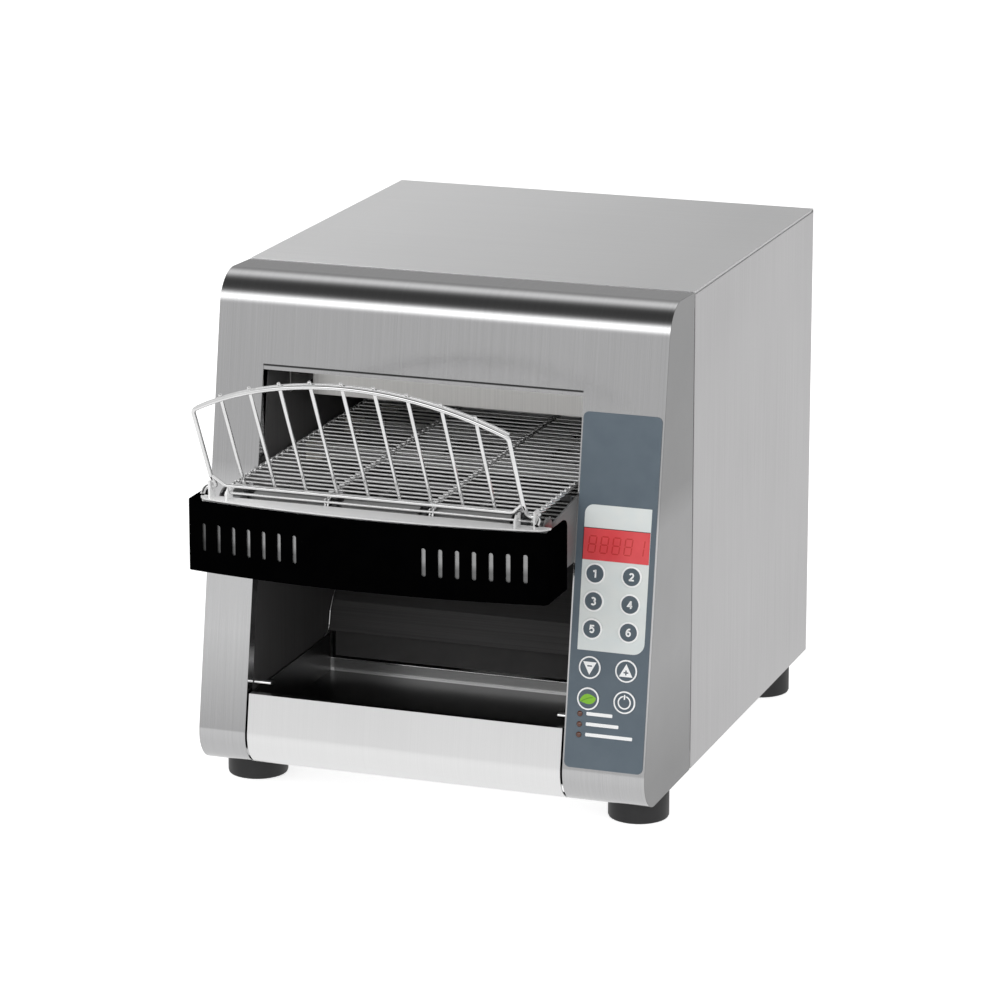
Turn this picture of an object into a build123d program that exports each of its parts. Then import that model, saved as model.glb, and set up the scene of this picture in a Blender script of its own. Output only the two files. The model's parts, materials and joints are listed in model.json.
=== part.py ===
from build123d import *
from math import asin, cos, degrees, hypot, pi, radians, sin, sqrt, tan
import os

# A countertop conveyor toaster, in millimetres. X runs across it, +Z is up, and -Y is its front.
# While it is built, y = 0 is the rear face; the finished part is centred over its footprint.

# ---- cabinet ----
body_width = 368.3
body_height = 386.0
side_depth = 337.0              # rear face to the seam between the side panels and the front panel
sheet = 1.2
panel_sheet = 1.0
seam_gap = 0.5
hood_flat = 35.0                # flat strip of the hood in front of the seam
hood_radius = 28.0
bottom_radius = 27.0
face_slope = 9.35               # degrees that the face leans out towards its foot
flange_depth = 10.0             # turned-in edges round the front opening
foot_height = 22.0
foot_diameter = 48.0
foot_inset_side = 24.15         # body side to the foot's centre
foot_setback_front = 62.0       # front of the body to the front feet's centre
foot_setback_rear = 55.0
foot_sides = 32
top_flange = 14.0
pan_wall = 15.0

# ---- front opening, liners and cooking chamber ----
left_column = 39.15             # body side to the opening, on the left and on the control side
control_column = 66.15
opening_headroom = 68.0         # body top down to the opening
liner_headroom = 51.0
liner_flange = 7.0
liner_step = 60.0               # height of the liner behind the tray's apron
reflector_front = 354.0         # rear face to the bright lip of the upper reflector
reflector_rear = 60.0
reflector_headroom = 103.0
reflector_inset = 12.0
reflector_lip = 8.0
heater_radius = 5.0
heater_sides = 16
heater_block = 13.0
upper_heater_headroom = 77.0
heater_rear_gap = 60.0          # reflector's rear wall to the last heater, its lip to the first
heater_front_gap = 34.0
lower_heater_setbacks = (150.0, 234.0, 318.0)

# ---- belt conveyor ----
belt_side_gap = 4.5             # opening side to the belt
belt_wire = 1.8
belt_pitch = 11.0
belt_top = 243.0
belt_links_per_run = 36
idler_setback = 489.0
sprocket_teeth = 8
sprocket_width = 4.0
sprocket_joint_gap = 5.8        # middle of the centre strand's half to the inner wheels
sprocket_edge_gap = 17.0        # belt edge to the outer wheels
tooth_height = 2.4
tooth_clearance = 0.4           # tooth tips to the belt's wires, which they turn inside
hook_clearance = 0.4            # belt wire to the wire it hooks
strands = 3
shaft_radius = 5.0
running_clearance = 0.05
shaft_square = 7.0
journal_length = 14.0
bushing_size = 16.0
bushing_flange = 20.0
bushing_flange_thickness = 1.0
rail_sheet = 1.5
rail_bottom = 188.0
rail_top = 238.5
rail_dip = 232.0                # top of the rail just behind its head
rail_dip_setback = 478.0
rail_front = 509.0
rail_rear = 60.0
rail_head_radius = 11.5
support_bar = 4.0
support_bar_setbacks = (125.0, 192.0, 276.0, 360.0, 430.0)

# ---- feed end: cover, ledge and loading rack ----
cover_overhang = 11.0           # past the opening on both sides
cover_bottom = 181.0
cover_height = 58.0
cover_sheet = 1.5
cover_corner_setback = 519.0
cover_bow = 13.0
cover_corner_radius = 12.0
cover_return_setback = 473.0
cover_edge_radius = 7.0
slot_width = 3.1
slot_length = 22.5
slots_per_side = 7
slot_margin = 13.7              # cover end to the outermost slot
slot_pitch = 12.8
slot_cut = 60.0
ledge_setback = 509.0
ledge_drop = 30.0
ear_top = 251.5
ear_front = 518.8
lug_inset = 11.0                # belt edge to the lugs that hold the guide rod
lug_top = 247.4
lug_front = 521.0
lug_radius = 4.0
guide_rod_setback = 515.0
guide_rod_height = 243.0
guide_rod_radius = 1.3
guide_rod_end = 3.0             # guide rod past its lugs
rack_pivot_setback = 514.0
rack_pivot_height = 246.5
rack_bend_setback = 525.3       # where the feet bend into the leaning frame
rack_bend_height = 258.6
rack_lean = 28.7                # degrees forward from upright
rack_side_gap = 3.5             # belt edge to the rack's legs
rack_leg = 66.5
rack_rise = 35.3                # rise of the bowed top above its corners
rack_corner_radius = 8.0
rack_elbow_radius = 4.0
rack_wire_radius = 2.0
rack_rail_drop = 9.6
rack_rail_end = 9.5
rack_rail_radius = 1.8
wire_sides = 8
rack_foot_gap = 3.0             # opening side to the feet that rest above the cover's edge
rack_foot_reach = 6.5
rack_foot_drop = 5.0
slat_radius = 1.6
slat_count = 9
slat_margin = 22.7              # rack side to the outermost slat
slat_tip = 4.5
pin_clearance = 0.06

# ---- return chute and collector tray ----
chute_rear = 30.0
chute_headroom = 56.0
chute_bend_height = 237.0
chute_radius = 80.0
chute_slope = 22.0
chute_lip_setback = 268.0
chute_end_setback = 276.0
chute_end_height = 63.2
tray_top = 61.5
tray_side_gap = 1.7
tray_rear = 275.0
tray_floor = 30.5
tray_rear_height = 9.2          # rear wall of the tray above its floor
tray_flange = 6.0               # hem turned back behind the apron's top edge
sliding_clearance = 0.3
runner_width = 15.0
runner_gap_front = 39.5         # front of the body to the runners
pin_radius = 1.8
pin_reach = 13.5
pin_gap_front = 21.0
pin_height = 66.0
pin_sides = 12

# ---- control column ----
overlay_gap_left = 2.0          # opening side to the overlay
overlay_gap_right = 2.65        # overlay to the body side
overlay_bottom = 32.5
overlay_top = 303.5
overlay_thickness = 0.8
overlay_radius = 4.5
window_margin_left = 4.5
window_margin_right = 3.0
window_bottom = 191.0
window_top = 215.5
window_thickness = 0.5
number_key_radius = 7.9
symbol_key_radius = 8.7
key_thickness = 0.6
key_lift = 0.35
key_inset = 16.0                # overlay's left edge to the first column of keys
key_pitch = 29.2
key_rows = (181.5, 160.6, 139.5, 110.2, 86.4)
lamp_inset = 10.7
lamp_heights = (73.4, 65.1, 57.0)
lamp_radius = 2.1
lamp_thickness = 0.7
key_sides = 20
lamp_sides = 12
board_bottom = 70.0
board_top = 240.0
board_margin = 6.0
board_gap = 14.0
board_thickness = 1.6
standoff = 5.0

# ---- drive in the right-hand compartment ----
drive_sprocket_teeth = 16
motor_sprocket_teeth = 12
chain_pitch = 6.35
chain_width = 3.0
chain_thickness = 2.6
chain_reach = 16.0              # opening side to the chain, the shaft's end and the gearbox
shaft_reach = 23.0
gearbox_reach = 25.0
motor_setback = 150.0
motor_height = 118.0
gearbox_size = 60.0
gearbox_depth = 20.0
gearbox_post = 6.0
motor_can_radius = 26.0
motor_can_length = 16.0
motor_can_sides = 32
motor_shaft_radius = 4.0

# ---- rear fittings ----
fan_inset = 34.15               # body side to the fan's and the gland's centre
fan_headroom = 68.0
fan_size = 60.0
fan_depth = 20.0
fan_bore_radius = 27.0
fan_hub_radius = 11.0
fan_blades = 7
fan_tip_gap = 0.8
fan_strut = 4.0
fan_pin_radius = 2.0
bore_sides = 32
vent_slots = 6
vent_width = 3.5
vent_length = 46.0
vent_pitch = 10.0
vent_left = -90.0
vent_middle = 40.0
vent_low = 70.0
vent_headroom = 86.0
gland_height = 36.0
gland_bore_radius = 5.0
gland_barrel_radius = 8.0
gland_nut = 24.0
gland_reach = 12.0
gland_lock = 6.0                # thickness of the lock nut inside
terminal_width = 44.0
terminal_depth = 22.0
terminal_height = 14.0
terminal_side_gap = 12.15
terminal_setback = 34.0
terminal_screws = 4
terminal_screw_pitch = 10.5
terminal_screw_size = (7.5, 10.0, 4.0)

# ---- places worked out from the sizes above ----
half_width = body_width / 2
upper_heater_setbacks = (reflector_rear + heater_rear_gap,
                         (reflector_rear + heater_rear_gap + reflector_front - heater_front_gap) / 2,
                         reflector_front - heater_front_gap)
opening_left = left_column - half_width
opening_right = half_width - control_column
opening_width = opening_right - opening_left
opening_top = body_height - opening_headroom
liner_height = body_height - liner_headroom
reflector_bottom = body_height - reflector_headroom
upper_heater_height = body_height - upper_heater_headroom
chute_top = body_height - chute_headroom
floor_z = foot_height                       # height of the body's underside above the table
slope = radians(face_slope)
face_angle = 180 - face_slope
hood_centre = (-side_depth - hood_flat, floor_z + body_height - hood_radius)
hood_end = (hood_centre[0] - hood_radius * cos(slope), hood_centre[1] + hood_radius * sin(slope))
face_length = (hood_centre[1] + (hood_radius - bottom_radius) * sin(slope)
               - floor_z - bottom_radius) / cos(slope)
bend_centre = (hood_centre[0] - (hood_radius - bottom_radius) * cos(slope) - face_length * sin(slope),
               floor_z + bottom_radius)
body_front = bend_centre[0] - bottom_radius
pin_setback = -body_front - pin_gap_front
belt_centre = (opening_left + opening_right) / 2
sprocket_radius = belt_pitch / (2 * sin(pi / sprocket_teeth))
shaft_height = floor_z + belt_top - belt_wire / 2 - sprocket_radius
idler_y = -idler_setback
drive_y = idler_y + belt_links_per_run * belt_pitch
belt_width = opening_width - 2 * belt_side_gap
rack_width = belt_width - 2 * rack_side_gap
cover_left = opening_left - cover_overhang
cover_right = opening_right + cover_overhang
lug_spread = belt_width / 2 - lug_inset
rack_foot_x = opening_width / 2 + rack_foot_gap
slat_pitch = (rack_width - 2 * slat_margin) / (slat_count - 1)
overlay_left = opening_right + overlay_gap_left
overlay_right = half_width - overlay_gap_right
chain_x = opening_right + chain_reach
shaft_end_x = opening_right + shaft_reach
gearbox_x = opening_right + gearbox_reach
fan_x = half_width - fan_inset
fan_height = body_height - fan_headroom
gland_x = fan_x
support_bar_top = floor_z + belt_top - belt_wire - 0.2
key_names = (("key_1", "key_2"), ("key_3", "key_4"), ("key_5", "key_6"),
             ("key_down", "key_up"), ("key_eco", "key_power"))

nodes = {}


def block(x, y, z):
    """A box between the two values of each axis."""
    size = [abs(b - a) for a, b in (x, y, z)]
    middle = [(a + b) / 2 for a, b in (x, y, z)]
    return Pos(*middle) * Box(*size)


def bar(x, y, z, radius):
    """A round bar along X between the two values of x."""
    return Pos((x[0] + x[1]) / 2, y, z) * Rot(0, 90, 0) * Cylinder(radius, abs(x[1] - x[0]))


def rod(x, y, z, radius, sides):
    """A many-sided bar along X between the two values of x."""
    outline = Plane(origin=(x[0], y, z), x_dir=(0, 1, 0), z_dir=(1, 0, 0)) * RegularPolygon(radius, sides)
    return extrude(outline, amount=x[1] - x[0])


def side_prism(edges, x):
    """Edges that close an outline in the YZ plane, extruded from the first value of x to the second."""
    return Pos(x[0], 0, 0) * extrude(make_face(edges), amount=x[1] - x[0], dir=(1, 0, 0))


def side_polygon(points, x):
    return side_prism([Polyline(*[(0, y, z) for y, z in points], close=True)], x)


def square_bar(x, y, z, size):
    """A square bar along X, centred on y and z."""
    return block(x, (y - size / 2, y + size / 2), (z - size / 2, z + size / 2))


def keep(name, *shapes):
    nodes[name] = Compound([solid for shape in shapes for solid in shape.solids()])


# ---- the front panel's side outline ----
def around(centre, radius, angle):
    return (0, centre[0] + radius * cos(radians(angle)), centre[1] + radius * sin(radians(angle)))


def skin_edges(inset, rear):
    """The body's side outline in front of y = rear, moved inwards by inset."""
    hood, bend = hood_radius - inset, bottom_radius - inset
    top = (0, rear, floor_z + body_height - inset)
    bottom = (0, rear, floor_z + inset)
    start, finish = around(hood_centre, hood, 90), around(hood_centre, hood, face_angle)
    low, under = around(bend_centre, bend, face_angle), around(bend_centre, bend, 270)
    return [Line(top, start),
            ThreePointArc(start, around(hood_centre, hood, (90 + face_angle) / 2), finish),
            Line(finish, low),
            ThreePointArc(low, around(bend_centre, bend, (face_angle + 270) / 2), under),
            Line(under, bottom), Line(bottom, top)]


def skin(inset, x, rear=-side_depth):
    return side_prism(skin_edges(inset, rear), x)


def face_y(height):
    """The face's y at a height above the body's underside."""
    return hood_end[0] - (hood_end[1] - floor_z - height) * tan(slope)


def on_face(x, height, lift=0.0):
    """A plane on the slanted face, its x across and its y up the face."""
    normal = Vector(0, -cos(slope), sin(slope))
    spot = Vector(x, face_y(height), floor_z + height) + normal * lift
    return Plane(origin=spot, x_dir=(1, 0, 0), z_dir=normal)


def face_plate(left, right, bottom, top, lift, thickness, radius=0.0):
    """A flat plate on the face, lift above it."""
    size = (right - left, (top - bottom) / cos(slope))
    shape = RectangleRounded(*size, radius) if radius else Rectangle(*size)
    outline = on_face((left + right) / 2, (bottom + top) / 2, lift) * shape
    return extrude(outline, amount=thickness)


# ---- cabinet ----
def make_front_panel():
    reach = side_depth + 1
    shell = skin(0, (-half_width, half_width))
    shell -= skin(sheet, (-half_width + sheet, half_width - sheet), -reach + 2)
    lip = bend_centre[0] + 2 * flange_depth
    shell -= block((-half_width + sheet, half_width - sheet), (lip, -side_depth + 2),
                   (floor_z - 1, floor_z + 2 * sheet))
    tall = (floor_z - 1, floor_z + opening_top)
    shell -= block((opening_left, opening_right), (body_front - 1, lip + 1), tall)
    window = block((-half_width, half_width), (body_front, lip), (floor_z, floor_z + opening_top + sheet))
    ring = (opening_left - sheet, opening_right + sheet)
    turned = (skin(sheet, ring) - skin(sheet + flange_depth, (ring[0] - 1, ring[1] + 1))) & window
    turned -= block((opening_left, opening_right), (body_front, lip + 1), tall)
    return shell + turned


def make_top_panel():
    top = floor_z + body_height - 0.6
    y = (-side_depth + seam_gap, 0)
    plate = block((-half_width, half_width), y, (top - panel_sheet, top))
    for side in (-1, 1):
        x = (side * (half_width - panel_sheet), side * (half_width - 2 * panel_sheet))
        plate += block(x, (y[0], -2 * panel_sheet), (top - top_flange, top - panel_sheet))
    return plate


def make_side_panel(side):
    top = floor_z + body_height - 0.6 - panel_sheet
    x = (side * half_width, side * (half_width - panel_sheet))
    return block(x, (-side_depth + seam_gap, -panel_sheet), (floor_z, top))


def make_rear_panel():
    inner = half_width
    panel = block((-inner, inner), (-panel_sheet, 0), (floor_z, floor_z + body_height - 0.6 - panel_sheet))
    slot = Box(vent_width, 3 * panel_sheet, vent_length)
    spread = (vent_slots - 1) / 2
    high = body_height - vent_headroom
    rows = [(vent_left, vent_low), (vent_left, high), (vent_middle, high)]
    steps = [(i - spread) * vent_pitch for i in range(vent_slots)]
    cuts = [Pos(x + step, 0, floor_z + z) * slot for x, z in rows for step in steps]
    grille = [(i - 2.5) * vent_pitch for i in range(6)]
    for offset in grille:
        length = 2 * sqrt(fan_bore_radius ** 2 - offset ** 2)
        cuts.append(Pos(fan_x + offset, 0, floor_z + fan_height) * Box(vent_width, 3 * panel_sheet, length))
    through = (-2 * panel_sheet, panel_sheet)
    gland = rear_prism(gland_x, floor_z + gland_height, through, gland_barrel_radius, bore_sides)
    return panel - Compound(cuts + [gland])


def make_base_pan():
    side = half_width - panel_sheet
    front = bend_centre[0] + 2 * flange_depth + seam_gap
    pan = block((-side + sheet, side - sheet), (front, -panel_sheet), (floor_z, floor_z + sheet))
    for x in (-1, 1):
        wall = (x * side, x * (side - panel_sheet))
        pan += block(wall, (-side_depth + seam_gap, -panel_sheet), (floor_z, floor_z + pan_wall))
        pan += block((x * (side - sheet), x * side), (-side_depth + seam_gap, -panel_sheet),
                     (floor_z, floor_z + sheet))
    return pan


def foot_places():
    x = half_width - foot_inset_side
    return [(-x, body_front + foot_setback_front), (x, body_front + foot_setback_front),
            (-x, -foot_setback_rear), (x, -foot_setback_rear)]


def make_foot(x, y):
    return Pos(x, y, 0) * extrude(RegularPolygon(foot_diameter / 2, foot_sides), amount=foot_height)


# ---- chamber ----
def make_liner(inner_x, side):
    """A cavity wall with its flange turned away from the cavity."""
    x = (inner_x, inner_x + side * panel_sheet)
    bounds = block(x, (body_front, -chute_rear), (floor_z + sheet, floor_z + liner_height))
    outline = skin(sheet + flange_depth, (min(x), max(x)), -chute_rear + 2)
    wall = outline & bounds
    low = (floor_z + sheet, floor_z + liner_step)
    wall += block(x, (bend_centre[0] + 2 * flange_depth + 1, -chute_rear), low)
    foot = block((inner_x, inner_x + side * liner_flange), (-side_depth, -chute_rear),
                 (floor_z + sheet, floor_z + 2 * sheet))
    top = block((inner_x, inner_x + side * liner_flange), (-side_depth, -chute_rear),
                (floor_z + liner_height, floor_z + liner_height + panel_sheet))
    wall = wall + foot + top
    return wall - square_bar((inner_x - 2, inner_x + 2), drive_y, shaft_height, bushing_size)


def make_upper_reflector():
    """Roof of the chamber, hung between the liners, with a front lip and a rear wall."""
    x = (opening_left + reflector_inset, opening_right - reflector_inset)
    wide = (opening_left, opening_right)
    z = (floor_z + reflector_bottom, floor_z + liner_height)
    roof = block(wide, (-reflector_front, -reflector_rear), (z[1] - panel_sheet, z[1]))
    lip = block(x, (-reflector_front, -reflector_front + panel_sheet), z)
    lip += block(x, (-reflector_front, -reflector_front + reflector_lip), (z[0], z[0] + panel_sheet))
    rear = block(x, (-reflector_rear - panel_sheet, -reflector_rear), z)
    sides = block((wide[0], wide[0] + panel_sheet), (-reflector_front, -reflector_rear), z)
    sides += block((wide[1] - panel_sheet, wide[1]), (-reflector_front, -reflector_rear), z)
    return roof + lip + rear + sides


def heater_set(setbacks, height, x):
    """Quartz tubes and the ceramic blocks that hold them at both ends."""
    tubes, blocks = [], []
    span = (x[0] + heater_block, x[1] - heater_block)
    for setback in setbacks:
        tubes.append(rod(span, -setback, height, heater_radius, heater_sides))
        for end, inner in ((x[0], x[0] + heater_block), (x[1] - heater_block, x[1])):
            y = (-setback - heater_block / 2, -setback + heater_block / 2)
            blocks.append(block((end, inner), y, (height - heater_block / 2, height + heater_block / 2)))
    return tubes, blocks


def make_chute():
    """Rear wall of the chamber that bends forward into the slide below the belt and ends in a steep lip."""
    turn, fall = radians(90 - chute_slope), radians(chute_slope)
    centre = (-chute_rear - chute_radius, floor_z + chute_bend_height)
    slide = (-sin(fall), cos(fall))
    foot = (-chute_end_setback, floor_z + chute_end_height)
    arc_end = (centre[0] + chute_radius * cos(turn), centre[1] - chute_radius * sin(turn))
    knee = (-chute_lip_setback, arc_end[1] - (arc_end[0] + chute_lip_setback) * tan(fall))
    length = hypot(foot[0] - knee[0], foot[1] - knee[1])
    lip = ((foot[1] - knee[1]) / length, -(foot[0] - knee[0]) / length)
    mitre = 1 + slide[0] * lip[0] + slide[1] * lip[1]

    def line(inset):
        radius = chute_radius - inset
        middle = (centre[0] + radius * cos(turn / 2), centre[1] - radius * sin(turn / 2))
        end = (centre[0] + radius * cos(turn), centre[1] - radius * sin(turn))
        corner = tuple(k + inset * (a + b) / mitre for k, a, b in zip(knee, slide, lip))
        last = tuple(f + inset * b for f, b in zip(foot, lip))
        top = (-chute_rear - inset, floor_z + chute_top)
        return [(0, *p) for p in (top, (top[0], centre[1]), middle, end, corner, last)]

    outer, inner = line(0), line(panel_sheet)
    edges = [Line(outer[0], inner[0]), Line(outer[5], inner[5])]
    for top, bend, middle, end, corner, last in (outer, inner):
        edges += [Line(top, bend), ThreePointArc(bend, middle, end), Line(end, corner), Line(corner, last)]
    return side_prism(edges, (opening_left, opening_right))


# ---- conveyor ----
def belt_path():
    """Wire centres in the YZ plane, once round the loop."""
    step = 2 * pi / sprocket_teeth
    points = [(drive_y - i * belt_pitch, shaft_height + sprocket_radius) for i in range(belt_links_per_run)]
    for i in range(sprocket_teeth // 2):
        angle = pi / 2 + i * step
        points.append((idler_y + sprocket_radius * cos(angle), shaft_height + sprocket_radius * sin(angle)))
    points += [(idler_y + i * belt_pitch, shaft_height - sprocket_radius) for i in range(belt_links_per_run)]
    for i in range(sprocket_teeth // 2):
        angle = -pi / 2 + i * step
        points.append((drive_y + sprocket_radius * cos(angle), shaft_height + sprocket_radius * sin(angle)))
    return points


def make_belt_wire(here, there):
    """One bent wire of the belt, with hooks that reach back to the next wire at its ends and joints."""
    along = Vector(0, there[0] - here[0], there[1] - here[1])
    plane = Plane(origin=(belt_centre, *here), x_dir=(1, 0, 0), z_dir=Vector(1, 0, 0).cross(along))
    half, reach = belt_wire / 2, along.length - belt_wire / 2 - hook_clearance
    points = [(-belt_width / 2, -half), (belt_width / 2, -half), (belt_width / 2, reach),
              (belt_width / 2 - belt_wire, reach), (belt_width / 2 - belt_wire, half)]
    for i in range(strands - 1, 0, -1):
        joint = belt_width * (i / strands - 0.5)
        points += [(joint + half, half), (joint + half, reach), (joint - half, reach), (joint - half, half)]
    points += [(-belt_width / 2 + belt_wire, half), (-belt_width / 2 + belt_wire, reach),
               (-belt_width / 2, reach)]
    return extrude(plane * make_face([Polyline(*points, close=True)]), amount=half, both=True)


def make_belt():
    points = belt_path()
    return [make_belt_wire(points[i], points[(i + 1) % len(points)]) for i in range(len(points))]


def sprocket_places():
    joint = belt_width / strands / 2
    near, far = joint - sprocket_joint_gap, belt_width / 2 - sprocket_edge_gap
    return [belt_centre + offset for offset in (-far, -near, near, far)]


def make_belt_sprocket(x, y):
    """A toothed disc that turns just inside the belt's wires."""
    tip = sprocket_radius - belt_wire / 2 - tooth_clearance
    root = tip - tooth_height
    foot, crest = 14.0, 6.0
    points = []
    for i in range(sprocket_teeth):
        middle = 360 / sprocket_teeth * (i + 0.5)
        for radius, angle in ((root, middle - foot), (tip, middle - crest), (tip, middle + crest),
                              (root, middle + foot)):
            points.append((y + radius * cos(radians(angle)), shaft_height + radius * sin(radians(angle))))
    disc = side_polygon(points, (x - sprocket_width / 2, x + sprocket_width / 2))
    return disc - square_bar((x - sprocket_width, x + sprocket_width), y, shaft_height, shaft_square)


def make_shaft(y, end):
    """A square shaft with a round journal turned at each end."""
    inner = (opening_left + journal_length, opening_right - journal_length)
    shaft = square_bar(inner, y, shaft_height, shaft_square)
    for journal in ((opening_left, inner[0]), (inner[1], end)):
        shaft += bar(journal, y, shaft_height, shaft_radius)
    return shaft


def make_rail(inner_x, side):
    """A side plate of the conveyor, inside the liner, with a round head for the idler shaft."""
    x = sorted((inner_x, inner_x - side * rail_sheet))
    corners = [(-rail_front, rail_bottom), (-rail_front, shaft_height - floor_z),
               (-rail_dip_setback, rail_dip), (face_y(rail_top), rail_top),
               (-rail_rear, rail_top), (-rail_rear, rail_bottom)]
    rail = side_polygon([(y, floor_z + z) for y, z in corners], x)
    rail += bar(x, idler_y, shaft_height, rail_head_radius)
    for y in (idler_y, drive_y):
        rail -= square_bar((inner_x - 3, inner_x + 3), y, shaft_height, bushing_size)
    return rail


def make_bushing(inner_x, side, y, through):
    """A square-bodied bush in the rail, and through the liner where through is set."""
    flange_x = inner_x - side * rail_sheet
    outer_x = inner_x + side * (panel_sheet if through else 0)
    body = square_bar((flange_x, outer_x), y, shaft_height, bushing_size)
    flange = (flange_x, flange_x - side * bushing_flange_thickness)
    body += square_bar(flange, y, shaft_height, bushing_flange)
    return body - bar((flange_x - 3, flange_x + 5), y, shaft_height, shaft_radius + running_clearance)


# ---- feed end ----
def cover_outline(inset):
    """Plan of the space inside the cover's outer face, moved inwards by inset."""
    left, right = cover_left, cover_right
    corner, rear = -cover_corner_setback, -cover_return_setback
    bow = (belt_centre, corner - cover_bow)
    face = make_face([Line((left, rear), (left, corner)),
                      ThreePointArc((left, corner), bow, (right, corner)),
                      Line((right, corner), (right, rear)), Line((right, rear), (left, rear))])
    face = fillet(face.vertices().group_by(Axis.Y)[0], cover_corner_radius)
    return offset(face, -inset) if inset else face


def make_cover():
    low, high = floor_z + cover_bottom, floor_z + cover_bottom + cover_height
    outer = Pos(0, 0, low) * extrude(cover_outline(0), amount=cover_height)
    inner = Pos(0, 0, low - 1) * extrude(cover_outline(cover_sheet), amount=cover_height + 2)
    mouth = block((cover_left + cover_sheet, cover_right - cover_sheet),
                  (-cover_return_setback - 3 * cover_sheet, -cover_return_setback + 1), (low - 1, high + 1))
    cover = outer - (inner + mouth)
    ends = cover.edges().filter_by(Axis.X).group_by(Axis.Y)[-1].group_by(Axis.Z)[-1]
    cover = fillet(ends, cover_edge_radius)
    slot = Rectangle(slot_width, slot_length)
    slot = extrude(Plane.XZ * chamfer(slot.vertices(), 0.3 * slot_width), amount=slot_cut)
    middle = low + cover_height / 2
    last = (cover_right - cover_left) / 2 - slot_margin
    y = -cover_corner_setback + slot_cut / 2
    cuts = [Pos(belt_centre + side * (last - i * slot_pitch), y, middle) * slot
            for side in (-1, 1) for i in range(slots_per_side)]
    return cover - Compound(cuts)


def make_ears(root):
    """Two ears for the loading rack's feet and two lugs for the guide rod, bent up from the ledge."""
    ears = []
    for x in ((opening_left, opening_left + rail_sheet), (opening_right - rail_sheet, opening_right)):
        ears.append(block(x, (-ear_front, -ledge_setback), (root, floor_z + ear_top)))
    for side in (-1, 1):
        x = belt_centre + side * lug_spread
        wide = (x - rail_sheet / 2, x + rail_sheet / 2)
        lug = block(wide, (-lug_front, -ledge_setback), (root, floor_z + lug_top))
        corner = lug.edges().filter_by(Axis.X).group_by(Axis.Y)[0].group_by(Axis.Z)[-1]
        ears.append(chamfer(corner, lug_radius))
    return ears


def make_ledge():
    """Stainless channel across the feed end: a ledge behind the cover, a rear flange, ears and lugs."""
    top = floor_z + cover_bottom + cover_height - sheet
    plan = cover_outline(cover_sheet)
    plate = Pos(0, 0, top - sheet) * extrude(plan, amount=sheet)
    plate -= block((cover_left, cover_right), (-ledge_setback, 0), (top - 2 * sheet, top + sheet))
    inside = (cover_left + cover_sheet + seam_gap, cover_right - cover_sheet - seam_gap)
    flange = block(inside, (-ledge_setback - sheet, -ledge_setback), (top - ledge_drop, top))
    ledge = plate + flange
    for ear in make_ears(top - sheet):
        ledge += ear
    ledge -= bar((cover_left, cover_right), -rack_pivot_setback, floor_z + rack_pivot_height,
                 rack_wire_radius + pin_clearance)
    return ledge - make_guide_rod()


def make_guide_rod():
    """Fixed rod through the lugs, in front of the belt's nose."""
    middle = (belt_centre, -guide_rod_setback, floor_z + guide_rod_height)
    outline = Plane(origin=middle, z_dir=(1, 0, 0)) * RegularPolygon(guide_rod_radius, wire_sides)
    return extrude(outline, amount=lug_spread + guide_rod_end, both=True)


def wire(plane, edges, radius):
    """A wire swept along flat edges that join smoothly, first edge first."""
    path = Wire(edges)
    start = Plane(origin=path @ 0, z_dir=path % 0)
    return plane * sweep(start * RegularPolygon(radius, wire_sides), path=path)


def bent_wire(plane, points, radius, corner):
    return wire(plane, FilletPolyline(*points, radius=corner).edges(), radius)


def rack_loop(half):
    """The frame's legs and bowed top, with rounded corners."""
    face = make_face([Line((-half, 0), (-half, rack_leg)),
                      ThreePointArc((-half, rack_leg), (0, rack_leg + rack_rise), (half, rack_leg)),
                      Line((half, rack_leg), (half, 0)), Line((half, 0), (-half, 0))])
    face = fillet([v for v in face.vertices() if v.Y > 1], rack_corner_radius)
    return [e for e in face.edges() if e.center().Y > 0.01]


def rack_slats(half):
    """Upright wires welded behind the frame, from the rail to a little above the bowed top."""
    bow = (half ** 2 + rack_rise ** 2) / (2 * rack_rise)
    behind = rack_wire_radius + slat_radius
    slats = []
    for i in range(slat_count):
        x = slat_pitch * (i - (slat_count - 1) / 2)
        top = rack_leg + rack_rise - bow + sqrt(bow ** 2 - x ** 2) + slat_tip
        slat = extrude(Plane.XZ * RegularPolygon(slat_radius, wire_sides), amount=top + rack_rail_drop)
        slats.append(Pos(x, top, -behind) * slat)
    return slats


def rack_feet(pivot, bend, half):
    """Cranked legs below the frame, pins that turn in the ears, and toes that stop on the cover."""
    crank = bend - pivot
    plane = Plane(origin=pivot, x_dir=(1, 0, 0), z_dir=Vector(1, 0, 0).cross(crank))
    toe = Vector(0, -rack_foot_reach, -rack_foot_drop)
    feet = []
    for side in (-1, 1):
        elbow = half + 1.2 * rack_elbow_radius
        leg = [(side * elbow, 0), (side * half, 0), (side * half, crank.length + 0.6)]
        feet.append(bent_wire(plane, leg, rack_wire_radius, rack_elbow_radius))
        pin = sorted((belt_centre + side * (elbow - 0.5), belt_centre + side * rack_foot_x))
        feet.append(bar(pin, pivot.Y, pivot.Z, rack_wire_radius))
        heel = Plane(origin=pivot + Vector(side * rack_foot_x, 0, 0), x_dir=(1, 0, 0), z_dir=toe)
        feet.append(extrude(heel * RegularPolygon(rack_wire_radius, wire_sides), amount=toe.length))
    return feet


def rack_plane():
    """The leaning frame's plane, its origin where the feet bend into it."""
    lean = radians(rack_lean)
    bend = Vector(belt_centre, -rack_bend_setback, floor_z + rack_bend_height)
    return Plane(origin=bend, x_dir=(1, 0, 0), z_dir=(0, -cos(lean), -sin(lean)))


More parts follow.
